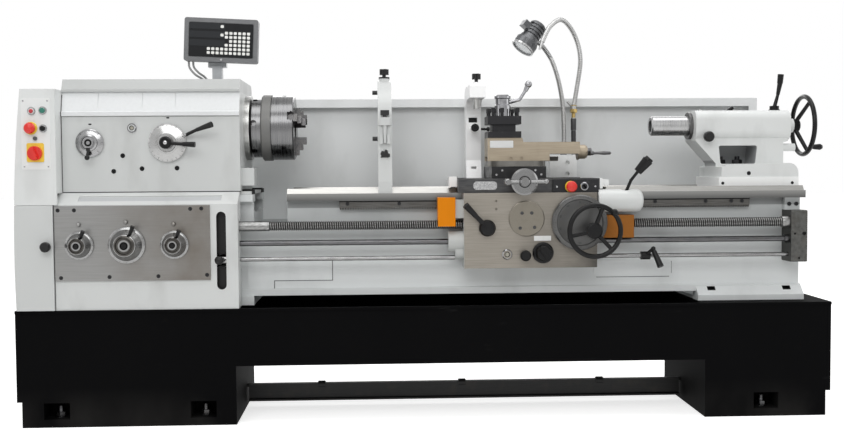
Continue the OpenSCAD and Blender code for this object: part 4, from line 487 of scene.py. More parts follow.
oxide = black_oxide()
slide_oxide = black_oxide("worn_slide_oxide", "#2a2a2b")
handle_black = plastic("moulded_black_phenolic", "#0a0a0b", 0.26, "#343230", Specular_IOR_Level=0.2, Coat_Weight=0.04)
button_red = plastic("moulded_red_plastic", "#d8261c", 0.25, "#8e1a12")
button_green = plastic("moulded_green_plastic", "#1f6f5e", 0.3, "#123f36")
lens_red = plastic("moulded_red_lens", "#b3202c", 0.12, "#5f0f16")
switch_yellow = plastic("moulded_yellow_plastic", "#e9c43a", 0.3, "#9c8328")
key_white = plastic("moulded_pale_keys", "#e8e8e6", 0.4, "#b9b9b4")
window_black = plastic("smoked_window", "#17181a", 0.4, "#222325", Specular_IOR_Level=0.15, Coat_Weight=0.0)
plate_pale = plastic("pale_printed_plate", "#e2e3e2", 0.35, "#b4b4b0", 0.3)
cable_black = plastic("black_cable_jacket", "#222224", 0.5, "#4a4a4b")
cable_grey = plastic("grey_cable_jacket", "#a8a8a8", 0.5, "#6f7274")
print("finishes so far", len(bpy.data.materials))

# %% [markdown]
# ## Marks round a dial
# Dials and collars are graduated: short straight lines at even angles between two radii. The angle
# about the dial's centre gives the line, and the distance from it gives the ring that it lies in.

# %% Graduated metal


def graduated(name, centre, axis, rings, light, dark, rough=0.25, ink="#1b1b1c", dark_ring=None, zones=()):
    """Turned metal with marks: each ring is (inner radius, outer radius, number of marks, width in mm)."""
    finish, tree, place = blank(name)
    local = add(tree, "Mapping", place, [-v for v in centre])
    u, v = [part for k, part in enumerate(add(tree, "SeparateXYZ", local).outputs) if k != axis]
    angle = add(tree, "Math", v, u, operation="ARCTAN2")
    flat = add(tree, "CombineXYZ", u, v)
    radius = add(tree, "VectorMath", flat, operation="LENGTH")
    lathe = add(tree, "CombineXYZ", radius)
    lines = add(tree, "TexNoise", lathe, 1400.0, 2.0)
    color = add(tree, "Mix", add(tree, "MapRange", lines, 0.3, 0.7), dark, light, data_type="RGBA")
    smudge = add(tree, "MapRange", add(tree, "TexNoise", place, 45.0, 5.0), 0.5, 0.85, 0, 0.3)
    color = add(tree, "Mix", smudge, color, "#5a554c", data_type="RGBA")
    if dark_ring:
        outer = add(tree, "MapRange", radius, dark_ring[0], dark_ring[0] + 0.0008)
        inner = add(tree, "MapRange", radius, dark_ring[1], dark_ring[1] + 0.0008, 1, 0)
        band = add(tree, "Math", outer, inner, operation="MULTIPLY")
        color = add(tree, "Mix", band, color, dark_ring[2], data_type="RGBA")
    for r_in, r_out, count, width in rings:
        turns = add(tree, "Math", angle, count / (2 * pi), operation="MULTIPLY")
        saw = add(tree, "Math", turns, 1.0, operation="FLOORED_MODULO")
        off = add(tree, "Math", add(tree, "Math", saw, 0.5, operation="SUBTRACT"), operation="ABSOLUTE")
        half = width * MM * count / (2 * pi * (r_in + r_out))
        line = add(tree, "MapRange", off, 0.5 - half * 1.3, 0.5 - half * 0.9)
        outer = add(tree, "MapRange", radius, r_in - 0.0002, r_in + 0.0002)
        inner = add(tree, "MapRange", radius, r_out - 0.0002, r_out + 0.0002, 1, 0)
        ring = add(tree, "Math", outer, inner, operation="MULTIPLY")
        mark = add(tree, "Math", ring, line, operation="MULTIPLY")
        color = add(tree, "Mix", mark, color, ink, data_type="RGBA")
    color, rough, metal = zoned(tree, place, zones, color, rough, 0.85)
    close(tree, color, rough, metal, lines, 0.05, 0.0001)
    return finish


print("feed dials to mark", len(FEED_DIALS))

# %% [markdown]
# ## Dress the CAD nodes
# Each CAD node takes the finish of the thing it is. A node whose paint and metal meet along a plane,
# such as the bed, has its own mixed finish; the rest share the finishes made above.

# %% Finishes that follow one node's own shape


def console_plastic():
    """Pale keys in front of a plane through the console's face, the grey shell behind it."""
    finish, tree, place = blank("console_keys_and_shell")
    shell = add(tree, "MapRange", add(tree, "SeparateXYZ", place).outputs[1], -0.0415, -0.0413)
    grain = add(tree, "TexNoise", add(tree, "Mapping", place, Scale=(0.15, 1, 1)), 240.0, 4.0)
    tone = add(tree, "MapRange", grain, 0.3, 0.7)
    keys = add(tree, "Mix", tone, "#dcdcd8", "#efefec", data_type="RGBA")
    case = add(tree, "Mix", tone, "#636466", "#6e6f71", data_type="RGBA")
    color = add(tree, "Mix", shell, keys, case, data_type="RGBA")
    smudge = add(tree, "MapRange", add(tree, "TexNoise", place, 30.0, 5.0), 0.55, 0.85, 0, 0.2)
    color = add(tree, "Mix", smudge, color, "#4d4a44", data_type="RGBA")
    close(tree, color, add(tree, "MapRange", shell, 0, 1, 0.4, 0.5), 0.0, grain, 0.05, 0.0001)
    return finish


console_finish = console_plastic()


def darkening_finish(name, node, reach, light, dark, far_tone, metal, zones=()):
    """Brushed metal that grows darker to the right and downwards, in soft clouds."""
    finish, tree, place = blank(name)
    low, high = box(node)
    strokes = add(tree, "TexNoise", add(tree, "Mapping", place, Scale=(0.02, 1, 1)), 420.0, 3.0)
    blotches = add(tree, "TexNoise", place, 9.0, 6.0)
    x, _, z = add(tree, "SeparateXYZ", place).outputs
    along = add(tree, "MapRange", x, low[0] + reach[0], high[0] - reach[1], 0.1, 1.0)
    down = add(tree, "MapRange", z, low[2], low[2] + reach[2], 1.0, 1 - reach[3])
    mask = add(tree, "Math", add(tree, "MapRange", blotches, 0.3, 0.7, 0.5, 1.0), along, operation="MULTIPLY")
    mask = add(tree, "Math", mask, down, operation="MULTIPLY")
    color = add(tree, "Mix", add(tree, "MapRange", strokes, 0.3, 0.7), dark, light, data_type="RGBA")
    color, rough, metal = zoned(tree, place, zones, add(tree, "Mix", mask, color, far_tone, data_type="RGBA"),
                                add(tree, "MapRange", blotches, 0.3, 0.7, 0.34, 0.44), metal)
    close(tree, color, rough, metal, strokes, 0.02, 0.0001)
    return finish


brushed_plate = darkening_finish("brushed_steel_plate", "gearbox_plate", (0.12, 0.1, 0.2, 0.0), "#8e8e8d", "#848483",
                            "#6b6660", 0.9)
apron_low = box("apron")[0]
apron_finish = darkening_finish("apron_iron_and_enamel", "apron", (0.22, 0.03, 0.3, 0.6), "#99938a", "#898379",
                           "#24221f", 0.35, zones=[
                               (apron_low - 0.01, (0.176, 0.1, 0.85), ("#b9bbb9", 0.4, 0.0))])
compound_finish = bare_metal("ground_compound_iron", "#a99d8a", "#998d7b", 0.42, (0.05, 1, 1), 240.0, 0.15, 0.5)
print("apron and console finishes")

# %% Finishes of the round graduated pieces
dial_a, dial_b = (-1.164, 0, 1.016), (-0.887, 0, 1.015)
speed_finish = graduated("speed_dial_chrome", dial_b, 1, [(0.0625, 0.0668, 24, 0.9), (0.036, 0.041, 48, 0.5)],
                         "#b4b4b3", "#939393", 0.22, zones=[((-0.8183, -0.34, 1.0), (-0.68, -0.2, 1.12), KNOB)])
reverse_finish = graduated("left_dial_chrome", dial_a, 1, [(0.04, 0.049, 8, 1.0)], "#a9a9a9", "#7e7e80", 0.18,
                           dark_ring=(0.006, 0.0128, "#161616"),
                           zones=[((-1.172, -0.3, 0.94), (-1.159, -0.236, 0.998), KNOB),
                                  ((-1.18, -0.3, 0.94), (-1.15, -0.25, 0.973), KNOB)])
feed_finishes = [graduated(f"feed_dial_steel_{i + 1}", (x, 0, FEED_Z), 1, [(0.92 * r, 0.985 * r, 16, 0.9)],
                           "#a2a2a1", "#757576", 0.22, dark_ring=(0.31 * r, 0.56 * r, "#4a4845"))
                 for i, (x, r) in enumerate(FEED_DIALS)]
cross_finish = graduated("cross_wheel_chrome", (0.388, 0, 0.867), 1, [(0.0, 0.001, 2, 0.1)],
                         "#8d8d8d", "#6c6c6c", 0.2, dark_ring=(0.017, 0.021, "#2c2c2c"))
swivel_finish = graduated("swivel_base_iron", (0.393, -0.045, 0.9), 2, [(0.112, 0.116, 180, 0.8)],
                          "#8a8883", "#6f6d69", 0.4)
print("finishes so far", len(bpy.data.materials))

# %% Give every CAD node its finish
finishes = {
    "base": stand_paint, "bed": bed_surface, "headstock": head_enamel, "headstock_lid": lid_enamel,
    "feed_gearbox": box_enamel, "end_cover": cover_enamel, "gear_cover": gear_enamel, "splash_guard": sheet_enamel,
    "tailstock_base": shoe_enamel, "tailstock_body": tail_enamel, "steady_rest": steady_enamel,
    "steady_top": steady_enamel, "follow_rest": follow_enamel, "joystick_housing": grey_enamel,
    "left_guard": orange_enamel, "right_guard": worn_and_shaded_orange, "brake_treadle": treadle_paint, "rack": rack_steel,
    "gearbox_plate": brushed_plate, "switch_plate": plate_pale, "rod_bracket": bracket_iron, "dro_arm": post_enamel,
    "dro_console": console_finish, "spindle": nose_steel, "chuck_body": chuck_steel, "speed_dial": speed_finish,
    "reverse_dial": reverse_finish, "control_rod": rod_steel, "lead_screw": ground_steel, "feed_rod": feed_rod_steel,
    "saddle": scraped_iron, "apron": apron_finish, "control_panel": oxide, "work_lamp": lamp_metal,
    "coolant_hose": conduit_zinc, "cross_slide": slide_oxide, "cross_handwheel": cross_finish,
    "swivel_base": swivel_finish, "compound_slide": compound_finish, "compound_crank": oiled_steel, "toolpost": oxide,
    "toolpost_lever": chrome, "quill": turned_steel,
}
finishes.update(dict.fromkeys(("chuck_jaw_1", "chuck_jaw_2", "chuck_jaw_3"), jaw_steel))
finishes.update(dict.fromkeys(("mains_switch", "stop_button", "panel_stop_button"), button_red))
finishes.update(dict.fromkeys(("range_lever", "apron_handwheel", "half_nut_lever", "feed_knob", "joystick",
                               "start_lever", "tail_handwheel", "tail_lever"), handle_black))
finishes.update({f"feed_dial_{i + 1}": finish for i, finish in enumerate(feed_finishes)})
for node, finish in finishes.items():
    node_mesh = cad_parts[node].data
    node_mesh.materials.clear()
    node_mesh.materials.append(finish)
print("dressed", len(finishes), "of", len(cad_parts))

# %% [markdown]
# ## Surfaces from numbers
# Every added piece is a grid of points: rows along one parameter, columns along another. A turned
# piece is a profile swept round an axis, a hose is a circle carried along a path. Rows and columns
# are whole numpy arrays, and neighbouring points are joined by four-cornered faces.

# %% Grids, turned shapes and tubes

FRONT, RIGHT, UP = (0, -1, 0), (1, 0, 0), (0, 0, 1)


def grid(points):
    """Faces for an array of shape (rows, columns, 3): each cell joins (i, j), (i, j+1), (i+1, j+1), (i+1, j)."""
    rows, columns = points.shape[:2]
    i, j = np.meshgrid(np.arange(rows - 1), np.arange(columns), indexing="ij")
    k = (j + 1) % columns
    faces = np.stack([i * columns + j, i * columns + k, (i + 1) * columns + k, (i + 1) * columns + j], -1)
    return points.reshape(-1, 3), faces.reshape(-1, 4)


def angles(sides):
    return np.arange(sides) * 2 * pi / sides


def turned(profile, sides=32, hexagon=()):
    """Revolve a profile round Z, given as radius, height, radius, height and so on in millimetres.

    x = r cos a, y = r sin a, z = h. Rows named in hexagon are six-sided: r / cos(a wrapped to +-30 degrees)."""
    rows = np.reshape(np.array(profile, float), (-1, 2)) * MM
    a = angles(sides)
    r = np.repeat(rows[:, :1], sides, 1)
    for row in hexagon:
        r[row] = rows[row, 0] / np.cos(np.mod(a + pi / 6, pi / 3) - pi / 6)
    return grid(np.stack([r * np.cos(a), r * np.sin(a), np.repeat(rows[:, 1:], sides, 1)], -1))


def smooth_path(points, steps=12):
    """Catmull-Rom curve through the points: each span blends its four neighbours by cubic weights."""
    p = np.array(points, float)
    p = np.vstack([p[0], p, p[-1]])
    t = (np.arange(steps) / steps)[:, None, None]
    a, b, c, d = p[None, :-3], p[None, 1:-2], p[None, 2:-1], p[None, 3:]
    spans = 0.5 * (2 * b + (c - a) * t + (2 * a - 5 * b + 4 * c - d) * t ** 2 + (3 * b - a - 3 * c + d) * t ** 3)
    return np.vstack([spans.transpose(1, 0, 2).reshape(-1, 3), p[-1]])


def tube(path, radius, sides=12, beside=(0, 1, 0)):
    """A circle carried along a path: ring = point + r (cos a side + sin a up), with closed ends."""
    way = np.gradient(path, axis=0)
    way /= np.linalg.norm(way, axis=1)[:, None]
    side = np.cross(way, np.array(beside, float))
    side /= np.linalg.norm(side, axis=1)[:, None]
    up = np.cross(side, way)
    a = angles(sides)[None, :, None]
    r = np.broadcast_to(np.asarray(radius, float), (len(path),))[:, None, None]
    rings = path[:, None] + r * (np.cos(a) * side[:, None] + np.sin(a) * up[:, None])
    ends = [np.repeat(path[k][None, None], sides, 1) for k in (0, -1)]
    return grid(np.concatenate([ends[0], rings, ends[1]]))


def stacked(rows):
    """Skin over outlines: each row is an outline and its height, in millimetres."""
    return grid(np.stack([np.column_stack([edge, np.full(len(edge), h)]) for edge, h in rows]) * MM)


def plate(width, height, thick, corner, steps=6):
    """A flat plate with round corners, in millimetres: its outline is corner centre + r (cos a, sin a),
    swept through its thickness and drawn in a little at the front edge."""
    a = np.linspace(0, pi / 2, steps)
    edge = np.concatenate([np.stack([sx * (width / 2 - corner) + corner * np.cos(a + q * pi / 2),
                                     sy * (height / 2 - corner) + corner * np.sin(a + q * pi / 2)], -1)
                           for q, (sx, sy) in enumerate([(1, 1), (-1, 1), (-1, -1), (1, -1)])])
    edge_in = edge * (1 - 2 * min(0.3 * thick, 0.8) / np.array([width, height]))
    return stacked([(edge_in * 0, 0), (edge, 0), (edge, thick * 0.75), (edge_in, thick), (edge_in * 0, thick)])


def join(shapes):
    """Several shapes in one: point rows stacked, face numbers shifted by the points before them."""
    starts = np.cumsum([0] + [len(points) for points, _ in shapes[:-1]])
    return (np.vstack([points for points, _ in shapes]),
            np.vstack([faces + start for start, (_, faces) in zip(starts, shapes)]))


def towards(way):
    return np.array(Vector(way).to_track_quat("Z", "Y").to_matrix())


def facing(shape, way, place, spin=0.0):
    """Turn a shape drawn along +Z to point along way, spin it on its axis and carry it to its place."""
    points, faces = shape
    turn = towards(way) @ np.array(Matrix.Rotation(spin, 3, "Z"))
    return points @ turn.T + np.array(place, float), faces


def row(shape, places, way=FRONT, spin=0.0):
    """The same shape at several places, each spun a little further than the last."""
    return join([facing(shape, way, place, spin * i) for i, place in enumerate(places)])


def settle(name, mesh, finish, body):
    """Make the object of a finished mesh, and give it finish and body."""
    mesh.materials.append(finish)
    piece = bpy.data.objects.new(name, mesh)
    bpy.context.scene.collection.objects.link(piece)
    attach(piece, body)
    print(name, len(mesh.polygons), "faces")
    return piece


def put(name, shape, finish, body="machine", smooth=True):
    """Make a piece of a shape: merge doubled points, point faces outwards and settle it."""
    points, faces = shape
    mesh = bpy.data.meshes.new(name)
    mesh.from_pydata(points.tolist(), [], faces.tolist())
    work = bmesh.new()
    work.from_mesh(mesh)
    bmesh.ops.remove_doubles(work, verts=work.verts, dist=2e-6)
    bmesh.ops.dissolve_degenerate(work, edges=work.edges, dist=1e-7)
    bmesh.ops.recalc_face_normals(work, faces=work.faces)
    work.to_mesh(mesh)
    work.free()
    if smooth:
        mesh.shade_smooth()
        mesh.set_sharp_from_angle(angle=radians(35))
    return settle(name, mesh, finish, body)


def fit(name, shape, place, finish, body="machine", way=FRONT, spin=0.0, smooth=True):
    """Put a piece that looks along way, which is towards the operator unless said, at its place."""
    return put(name, facing(shape, way, place, spin), finish, body, smooth)

# %% [markdown]
# ## The lead screw
# The lead screw is a long trapezoidal thread: on the real shaft a single-point tool cuts one spiral
# groove. Here the radius of the bar is a function of place and angle: distance along the bar minus
# the angle's share of the pitch gives where on the tooth a point lies.

# %% Lead screw thread
screw_y, screw_z = middle("lead_screw")[1:]
screw_end, gearbox_right, bracket_left = box("lead_screw")[1][0], gearbox[1][0], box("rod_bracket")[0][0]


def threaded_bar(start, end, pitch=0.008, top=0.0176, depth=0.0032, sides=24):
    """r(x, a) = top - depth * tooth(x / pitch - a / 2 pi), tooth held between 0 and 1 with sloping flanks."""
    x = np.arange(start, end, pitch / 6)[:, None]
    a = angles(sides)[None, :]
    turn = np.mod(x / pitch - a / (2 * pi), 1.0)
    r = top - depth * np.clip(4.2 * np.abs(turn - 0.5) - 0.55, 0, 1)
    rings = np.stack([x + 0 * a, screw_y + r * np.cos(a), screw_z + r * np.sin(a)], -1)
    ends = [np.broadcast_to(np.array([v, screw_y, screw_z]), (1, sides, 3)) for v in (x[0, 0], x[-1, 0])]
    return grid(np.concatenate([ends[0], rings, ends[1]]))


thread_start, thread_end = gearbox_right + 0.109, bracket_left - 0.026
plain_end = [(0, gearbox_right - 0.028), (0.0185, gearbox_right - 0.028), (0.0185, thread_start - 0.002),
             (0.0165, thread_start), (0, thread_start + 0.001)]
collar = [(0, thread_end - 0.001), (0.0205, thread_end - 0.001), (0.0215, thread_end + 0.0015),
          (0.0215, bracket_left - 0.0006), (0.0145, bracket_left - 0.0006), (0.0145, screw_end), (0, screw_end)]
bar_parts = [threaded_bar(thread_start, thread_end)]
bar_parts += [facing(turned(np.array(part) / MM, 40), RIGHT, (0, screw_y, screw_z)) for part in (plain_end, collar)]
thread_steel, tree, place = blank("oiled_screw_thread_shaded_roots")
local = add(tree, "VectorMath", place, (0, screw_y, screw_z), operation="SUBTRACT")
across_bar = add(tree, "VectorMath", local, (0, 1, 1), operation="MULTIPLY")
from_axis = add(tree, "VectorMath", across_bar, operation="LENGTH")
worn = add(tree, "TexNoise", add(tree, "Mapping", place, Scale=(0.3, 1, 1)), 260.0, 4.0)
tone = add(tree, "Mix", add(tree, "MapRange", worn, 0.3, 0.7), "#6e6e6d", "#969695", data_type="RGBA")
# Points nearer the axis than the crests are darker, so the roots of the thread are painted near black: painted shade
# in the grooves.
close(tree, add(tree, "Mix", add(tree, "MapRange", from_axis, 0.0148, 0.0171), "#1f1e1c", tone, data_type="RGBA"),
      0.3, 0.9)
thread = put("lead_screw_thread", join(bar_parts), thread_steel, "lead_screw")
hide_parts("lead_screw")

# %% [markdown]
# ## Screws
# Socket head cap screws hold the plates, the rack and the brackets. The head is a short cylinder with
# a chamfer and a six-sided socket, so one profile with a hexagonal row makes them all.

# %% Cap screws


def cap_screw(r, h):
    """Head of radius r and height h: up the side, over the chamfer, down a hexagonal socket."""
    return turned([0, -1, r, -1, r, 0.85 * h, 0.9 * r, h, 0.56 * r, h, 0.5 * r, 0.94 * h, 0.5 * r, 0.35 * h,
                   0, 0.35 * h], 24, (4, 5, 6))


def screws(name, r, h, places, body="machine", finish=oxide):
    """Equal screws as one piece."""
    return put(name, row(cap_screw(r, h), places, FRONT, 0.3), finish, body)


def spots(corner, y, offsets):
    """Places at y, offset from a corner to the right and upwards by millimetres."""
    return [(corner[0] + a * MM, y, corner[2] + b * MM) for a, b in offsets]


plate_corner = (gearbox[0][0], 0, plate_foot)
screws("gearbox_plate_screws", 7.2, 4.5, spots(plate_corner, PLATE_FACE, (
    (17, 252), (74, 252), (482, 254), (521, 255), (24, 12), (194, 14), (366, 15), (538, 18))))
rack_low, rack_high = box("rack")
rack_spots = [rack_low[0] + 0.03 + 0.19 * k for k in range(8)] + [rack_high[0] - 0.03, rack_high[0] - 0.07]
screws("rack_screws", 6.5, 4, [(x, rack_low[1], rack_high[2] - 0.011) for x in rack_spots])
bracket_low = box("rod_bracket")[0]
screws("bracket_screws", 3.8, 4, spots(bracket_low, bracket_low[1] + 0.009, ((48, 104), (14, 104), (30, 14))))
screws("bracket_pad_screws", 7.5, 5, [(x, -0.2, 0.777) for x in (1.397, 1.424)])

# %% [markdown]
# ## Switch plate
# The electric plate is a pale printed panel with a signal lens, a start button, a jog button, a lock
# and the mains switch on its yellow square. Caps are turned shapes; the square is a plate with a hole.

# %% Caps and lenses of the switch plate
switch_low, switch_high = box("switch_plate")


def on_switch(right_mm, down_mm, out_mm=0.0):
    """A place on the switch plate: right of a line 54 mm from its left edge, down from a line 32 mm
    over its top, and out of its face."""
    return (switch_low[0] + 0.054 + right_mm * MM, switch_high[1] - 0.002 - out_mm * MM,
            switch_high[2] + 0.032 - down_mm * MM)


def cap(r, h, dome=0.3):
    """A round cap: straight side, then a quarter round to the middle."""
    a = np.linspace(0, pi / 2, 8)
    edge = np.stack([r * (1 - dome) + r * dome * np.cos(a), h - r * dome + r * dome * np.sin(a)], -1)
    return turned(np.vstack([[0, -0.5], [r, -0.5], edge, [0, h]]), 40)


def bezel(hole, r, side, top_r, h):
    """A ring round a hole: up the side, over the chamfer to the top, down the hole."""
    return turned([hole, 0, r, 0, r, side, top_r, h, hole, h, hole, 0], 40)


fit("signal_lens", cap(7.8, 9, 0.8), on_switch(-17, 78, 4), lens_red)
fit("start_button_cap", cap(9.6, 12.5, 0.2), on_switch(22, 76), button_green)
fit("jog_button_cap", cap(9.6, 12.5, 0.2), on_switch(22, 139), handle_black)
put("button_bezels", row(bezel(9.8, 14.2, 4, 13, 6), [on_switch(*at) for at in ((-17, 78), (22, 76), (22, 139))]),
    satin_chrome)
fit("lock_barrel", turned([0, 0, 7.2, 0, 7.2, 6, 6.2, 7.2, 1.8, 7.2, 1.8, 4, 0, 4]), on_switch(-6, 174),
    oiled_steel)


def holed_plate(width, height, thick, hole, steps=48):
    """A rectangle with a round hole: each angle has a point on the hole and one on the outline.

    The outline point is the hole's direction stretched until it meets the rectangle."""
    a = angles(steps) + pi / 4
    ways = np.stack([np.cos(a), np.sin(a)], -1)
    reach = 1 / np.maximum(np.abs(ways[:, 0]) / (width / 2), np.abs(ways[:, 1]) / (height / 2))
    outer, inner = ways * reach[:, None], ways * hole
    return stacked([(inner, 0), (outer, 0), (outer, thick), (inner, thick), (inner, 0)])


fit("mains_yellow_square", holed_plate(60.4, 67, 1.2, 9.5), on_switch(-5.5, 223.5, 3.2), switch_yellow)
fit("stop_button_base", bezel(8.5, 22.5, 3, 19.5, 6.5), on_switch(-20, 138), switch_yellow)
screws("panel_screws", 3, 1.8, [on_switch(a, b) for a in (-46, 38) for b in (42, 273)], "machine", satin_chrome)

# %% [markdown]
# ## Glasses and plugs
# An oil sight glass is a chrome ring with a clear disc over a dark bore. Tapped bores that are not in
# use are closed with black plugs.

# %% Sight glasses and plugs
smoked = plastic("oily_sight_glass", "#a8a496", 0.08, "#6b6656")


def sight_glass(name, r, place, body):
    """Bright rim, black seal ring and the disc inside it."""
    rim = turned([0.78 * r, 0, r + 0.4, 0, r + 0.4, 5, 0.88 * r, 7.8, 0.8 * r, 7.8, 0.78 * r, 6, 0.78 * r, 0], 40)
    seal = turned([0.42 * r, 0, 0.775 * r, 0, 0.775 * r, 6, 0.6 * r, 7, 0.44 * r, 6, 0.42 * r, 4.5, 0.42 * r, 0], 40)
    fit(name + "_rim", rim, place, chrome, body)
    fit(name + "_seal", seal, place, handle_black, body)
    fit(name + "_disc", cap(0.43 * r, 4.4, 0.2), place, smoked, body)


head_mark = (head_left, 0, SPINDLE_Z)
sight_glass("headstock_glass", 16, (head_left + 0.252, HEAD_FACE, SPINDLE_Z - 0.006), "machine")
sight_glass("apron_glass", 18, (0.331, APRON_FACE, 0.605), "carriage")
plug = turned([0, -6, 8.4, -6, 8.4, 1, 7.4, 2, 4.2, 2, 4.2, -3, 0, -3], 24, (4, 5))
put("headstock_plugs", row(plug, spots(head_mark, HEAD_FACE, ((217, -105), (184, -161), (285, -152), (410, -151)))),
    handle_black)

# %% [markdown]
# ## Grips and caps of the dials
# Each feed dial is turned by a short black grip that stands in the slot of its cone. The caps close
# the middles of the dials, and a small black index mark is set over each dial of the headstock.

# %% Grips, caps and index marks
lean = radians(24)
GRIP_FOOT, GRIP_RUN = -0.288, ((0.6, 0.034), (0.8, 0.0375), (1.0, 0.04), (1.16, 0.0415))
for i, (x, r) in enumerate(FEED_DIALS):
    path = [np.array([x + sin(lean) * r * run, GRIP_FOOT - h, FEED_Z + cos(lean) * r * run]) for run, h in GRIP_RUN]
    put(f"feed_dial_grip_{i + 1}", tube(np.array(path), [0.005, 0.006, 0.0072, 0.0078], 20), handle_black,
        body=f"feed_dial_{i + 1}")
    s = r / MM
    fit(f"feed_dial_cap_{i + 1}", turned([0, -2, 0.15 * s, -2, 0.15 * s, 0.4, 0.26 * s, 0.4, 0.26 * s, 2.2,
                                          0.22 * s, 3, 0, 3]), (x, -0.338, FEED_Z), handle_black,
        body=f"feed_dial_{i + 1}")
fit("range_lever_cap", turned([0, 0, 7, 0, 7, 2, 5.5, 3, 0, 3]), (dial_b[0], -0.278, dial_b[2]), satin_chrome,
    "range_lever")
put("dial_index_marks", row(plate(11, 5, 0.6, 2.4), [(dial[0] + 0.001, HEAD_FACE, dial[2] + up)
                                                     for dial, up in ((dial_a, 0.067), (dial_b, 0.09))]),
    handle_black, smooth=False)

# %% [markdown]
# ## Fittings of the tailstock and the cross slide
# Two hexagon nuts on studs clamp the tailstock from inside its window, whose back is closed by a web.
# Set screws sit in the bores of its foot, and bright screws in the front of the cross slide.

# %% Tailstock and cross slide fittings
shoe_low, shoe_high = box("tailstock_base")
tail_x, foot_top = shoe_low[0], shoe_high[2]
hex_nut = turned([0, 0, 19, 0, 19, 2.5, 16.5, 3, 16.5, 15.5, 14.5, 17, 9.5, 17, 9.5, 28, 8.5, 29, 0, 29], 24, (3, 4))
put("tailstock_clamp_nuts", join([facing(hex_nut, UP, (tail_x + dx, 0.0, foot_top + 0.0502), 0.3 * dx)
                                  for dx in (0.052, 0.118)]), oxide, "tailstock")
web = np.array([[tail_x + a, 0.05, foot_top + c] for a, c in (
    (0.02, 0.044), (0.176, 0.044), (0.176, 0.126), (0.02, 0.126))])
web_middle, web_thick = web * 0 + web.mean(0), [0, 0.012, 0]
put("tailstock_web", grid(np.stack([web_middle, web, web + web_thick, web_middle + web_thick])), tail_enamel,
    "tailstock", False)


def set_screw(r, foot, top, socket, floor):
    """A screw sunk in its bore, with a hexagonal socket."""
    return turned([0, foot, r, foot, r, top, socket, top, socket, floor, 0, floor], 24, (3, 4))


fit("tailstock_foot_plug", set_screw(7.8, -11.5, -2, 4.2, -7), (tail_x + 0.116, -0.14, foot_top + 0.014), oxide,
    "tailstock")
put("tailstock_set_screws", row(set_screw(5.6, -9, -1.2, 2.8, -5), [(tail_x + dx, shoe_low[1], 0.854)
                                                                    for dx in (0.016, 0.282)]),
    oxide, "tailstock")
slide_low = box("cross_slide")[0]
slide_mark = (middle("cross_slide")[0], 0, slide_low[2])
screws("cross_slide_screws", 4.5, 3.5, spots(slide_mark, slide_low[1] + 0.0048, (
    (-84, 13.6), (84, 13.6), (-62, 29.6), (62, 29.6))), "cross_slide", satin_chrome)
fit("follow_finger_cap", turned([0, 0, 15.5, 0, 15.5, 8, 13.5, 10.5, 9, 10.5, 8.5, 8.5, 0, 8.5], 40),
    (follow_low[0] + 0.03, 0.0638, SPINDLE_Z), handle_black, body="carriage")
clamp_foot = np.array([tail_x + 0.09, 0.07, foot_top + 0.243])
clamp_way = clamp_foot + np.array([[0, 0, -9], [6, 6, 4], [20, 12, 17], [38, 16, 30]]) * MM
put("quill_clamp_lever", tube(smooth_path(clamp_way, 3),
                              [0.005] * 4 + [0.0056, 0.0068, 0.0076, 0.008, 0.0078, 0.007], 16), handle_black,
    body="tailstock")

# %% [markdown]
# ## Apron fittings
# The apron carries the big carriage dial, a bright flange with four screws and a small knob. They are
# laid over the plain solids of the CAD as shells a few tenths of a millimetre proud.

# %% Carriage dial, flange, knob and labels
dial_spot, flange_spot = (0.593, APRON_FACE, 0.719), (0.402, APRON_FACE, 0.734)
ring_finish = graduated("carriage_dial_steel", (dial_spot[0], 0, dial_spot[2]), 1,
                        [(0.091, 0.0985, 100, 0.5), (0.087, 0.0985, 20, 0.8)], "#616160", "#4d4d4d", 0.34)
fit("carriage_dial", turned([0, 17.5, 81.5, 17.5, 84, 22.5, 96, 20.6, 100.3, 16.4, 100.3, 0.2, 0, 0.2], 96),
    dial_spot, ring_finish, "carriage")
flange_finish = graduated("faced_flange", (flange_spot[0], 0, flange_spot[2]), 1, [(0.0, 0.001, 2, 0.1)],
                          "#827d73", "#6f6a61", 0.34)
fit("apron_flange", turned([0, 0.2, 64.3, 0.2, 64.3, 4.2, 62, 6.2, 0, 6.2], 64), flange_spot, flange_finish,
    "carriage")
screws("flange_screws", 6.2, 2, spots((0.176, 0, 0.827), APRON_FACE - 0.0062, (
    (209, -73), (244, -73), (202, -127), (254, -125))), "carriage", scraped_iron)
fit("apron_small_knob", turned([0, 0, 9.8, 0, 9.8, 10.5, 19.3, 14.8, 19.4, 25.5, 15.5, 30.4, 0, 30.4], 48),
    (0.396, -0.284, 0.601), handle_black, body="carriage")
fit("apron_label", plate(62, 18, 1.2, 2), (0.46, APRON_FACE, 0.662), plate_pale, "carriage")
fit("compound_label", plate(88, 27, 1.2, 3), (0.334, -0.103, 1.006), plate_pale, "compound_slide")
fit("saddle_label", plate(86, 30, 1.2, 12), (0.255, -0.265, 0.853), satin_chrome, "carriage")

# %% [markdown]
# ## Readout console
# The readout is a grey moulded shell with a smoked window and white rubber keys. The window and the
# display glass are thin plates set just in front of the CAD recess.

# %% Readout window
console_low, tilt = box("dro_console")[0], radians(2.5)


def on_console(shape, across_mm, up_mm, out_mm=0.0):
    """Carry a shape drawn towards the operator to a place on the tilted console face."""
    lean_back = np.array(Matrix.Rotation(tilt, 3, "Y"))
    points, faces = shape
    place = middle("dro_console") * (1, 0, 1) + (0, -0.041 - out_mm * MM, 0)
    return points @ (lean_back @ towards(FRONT)).T + lean_back @ (across_mm * MM, 0, up_mm * MM) + place, faces


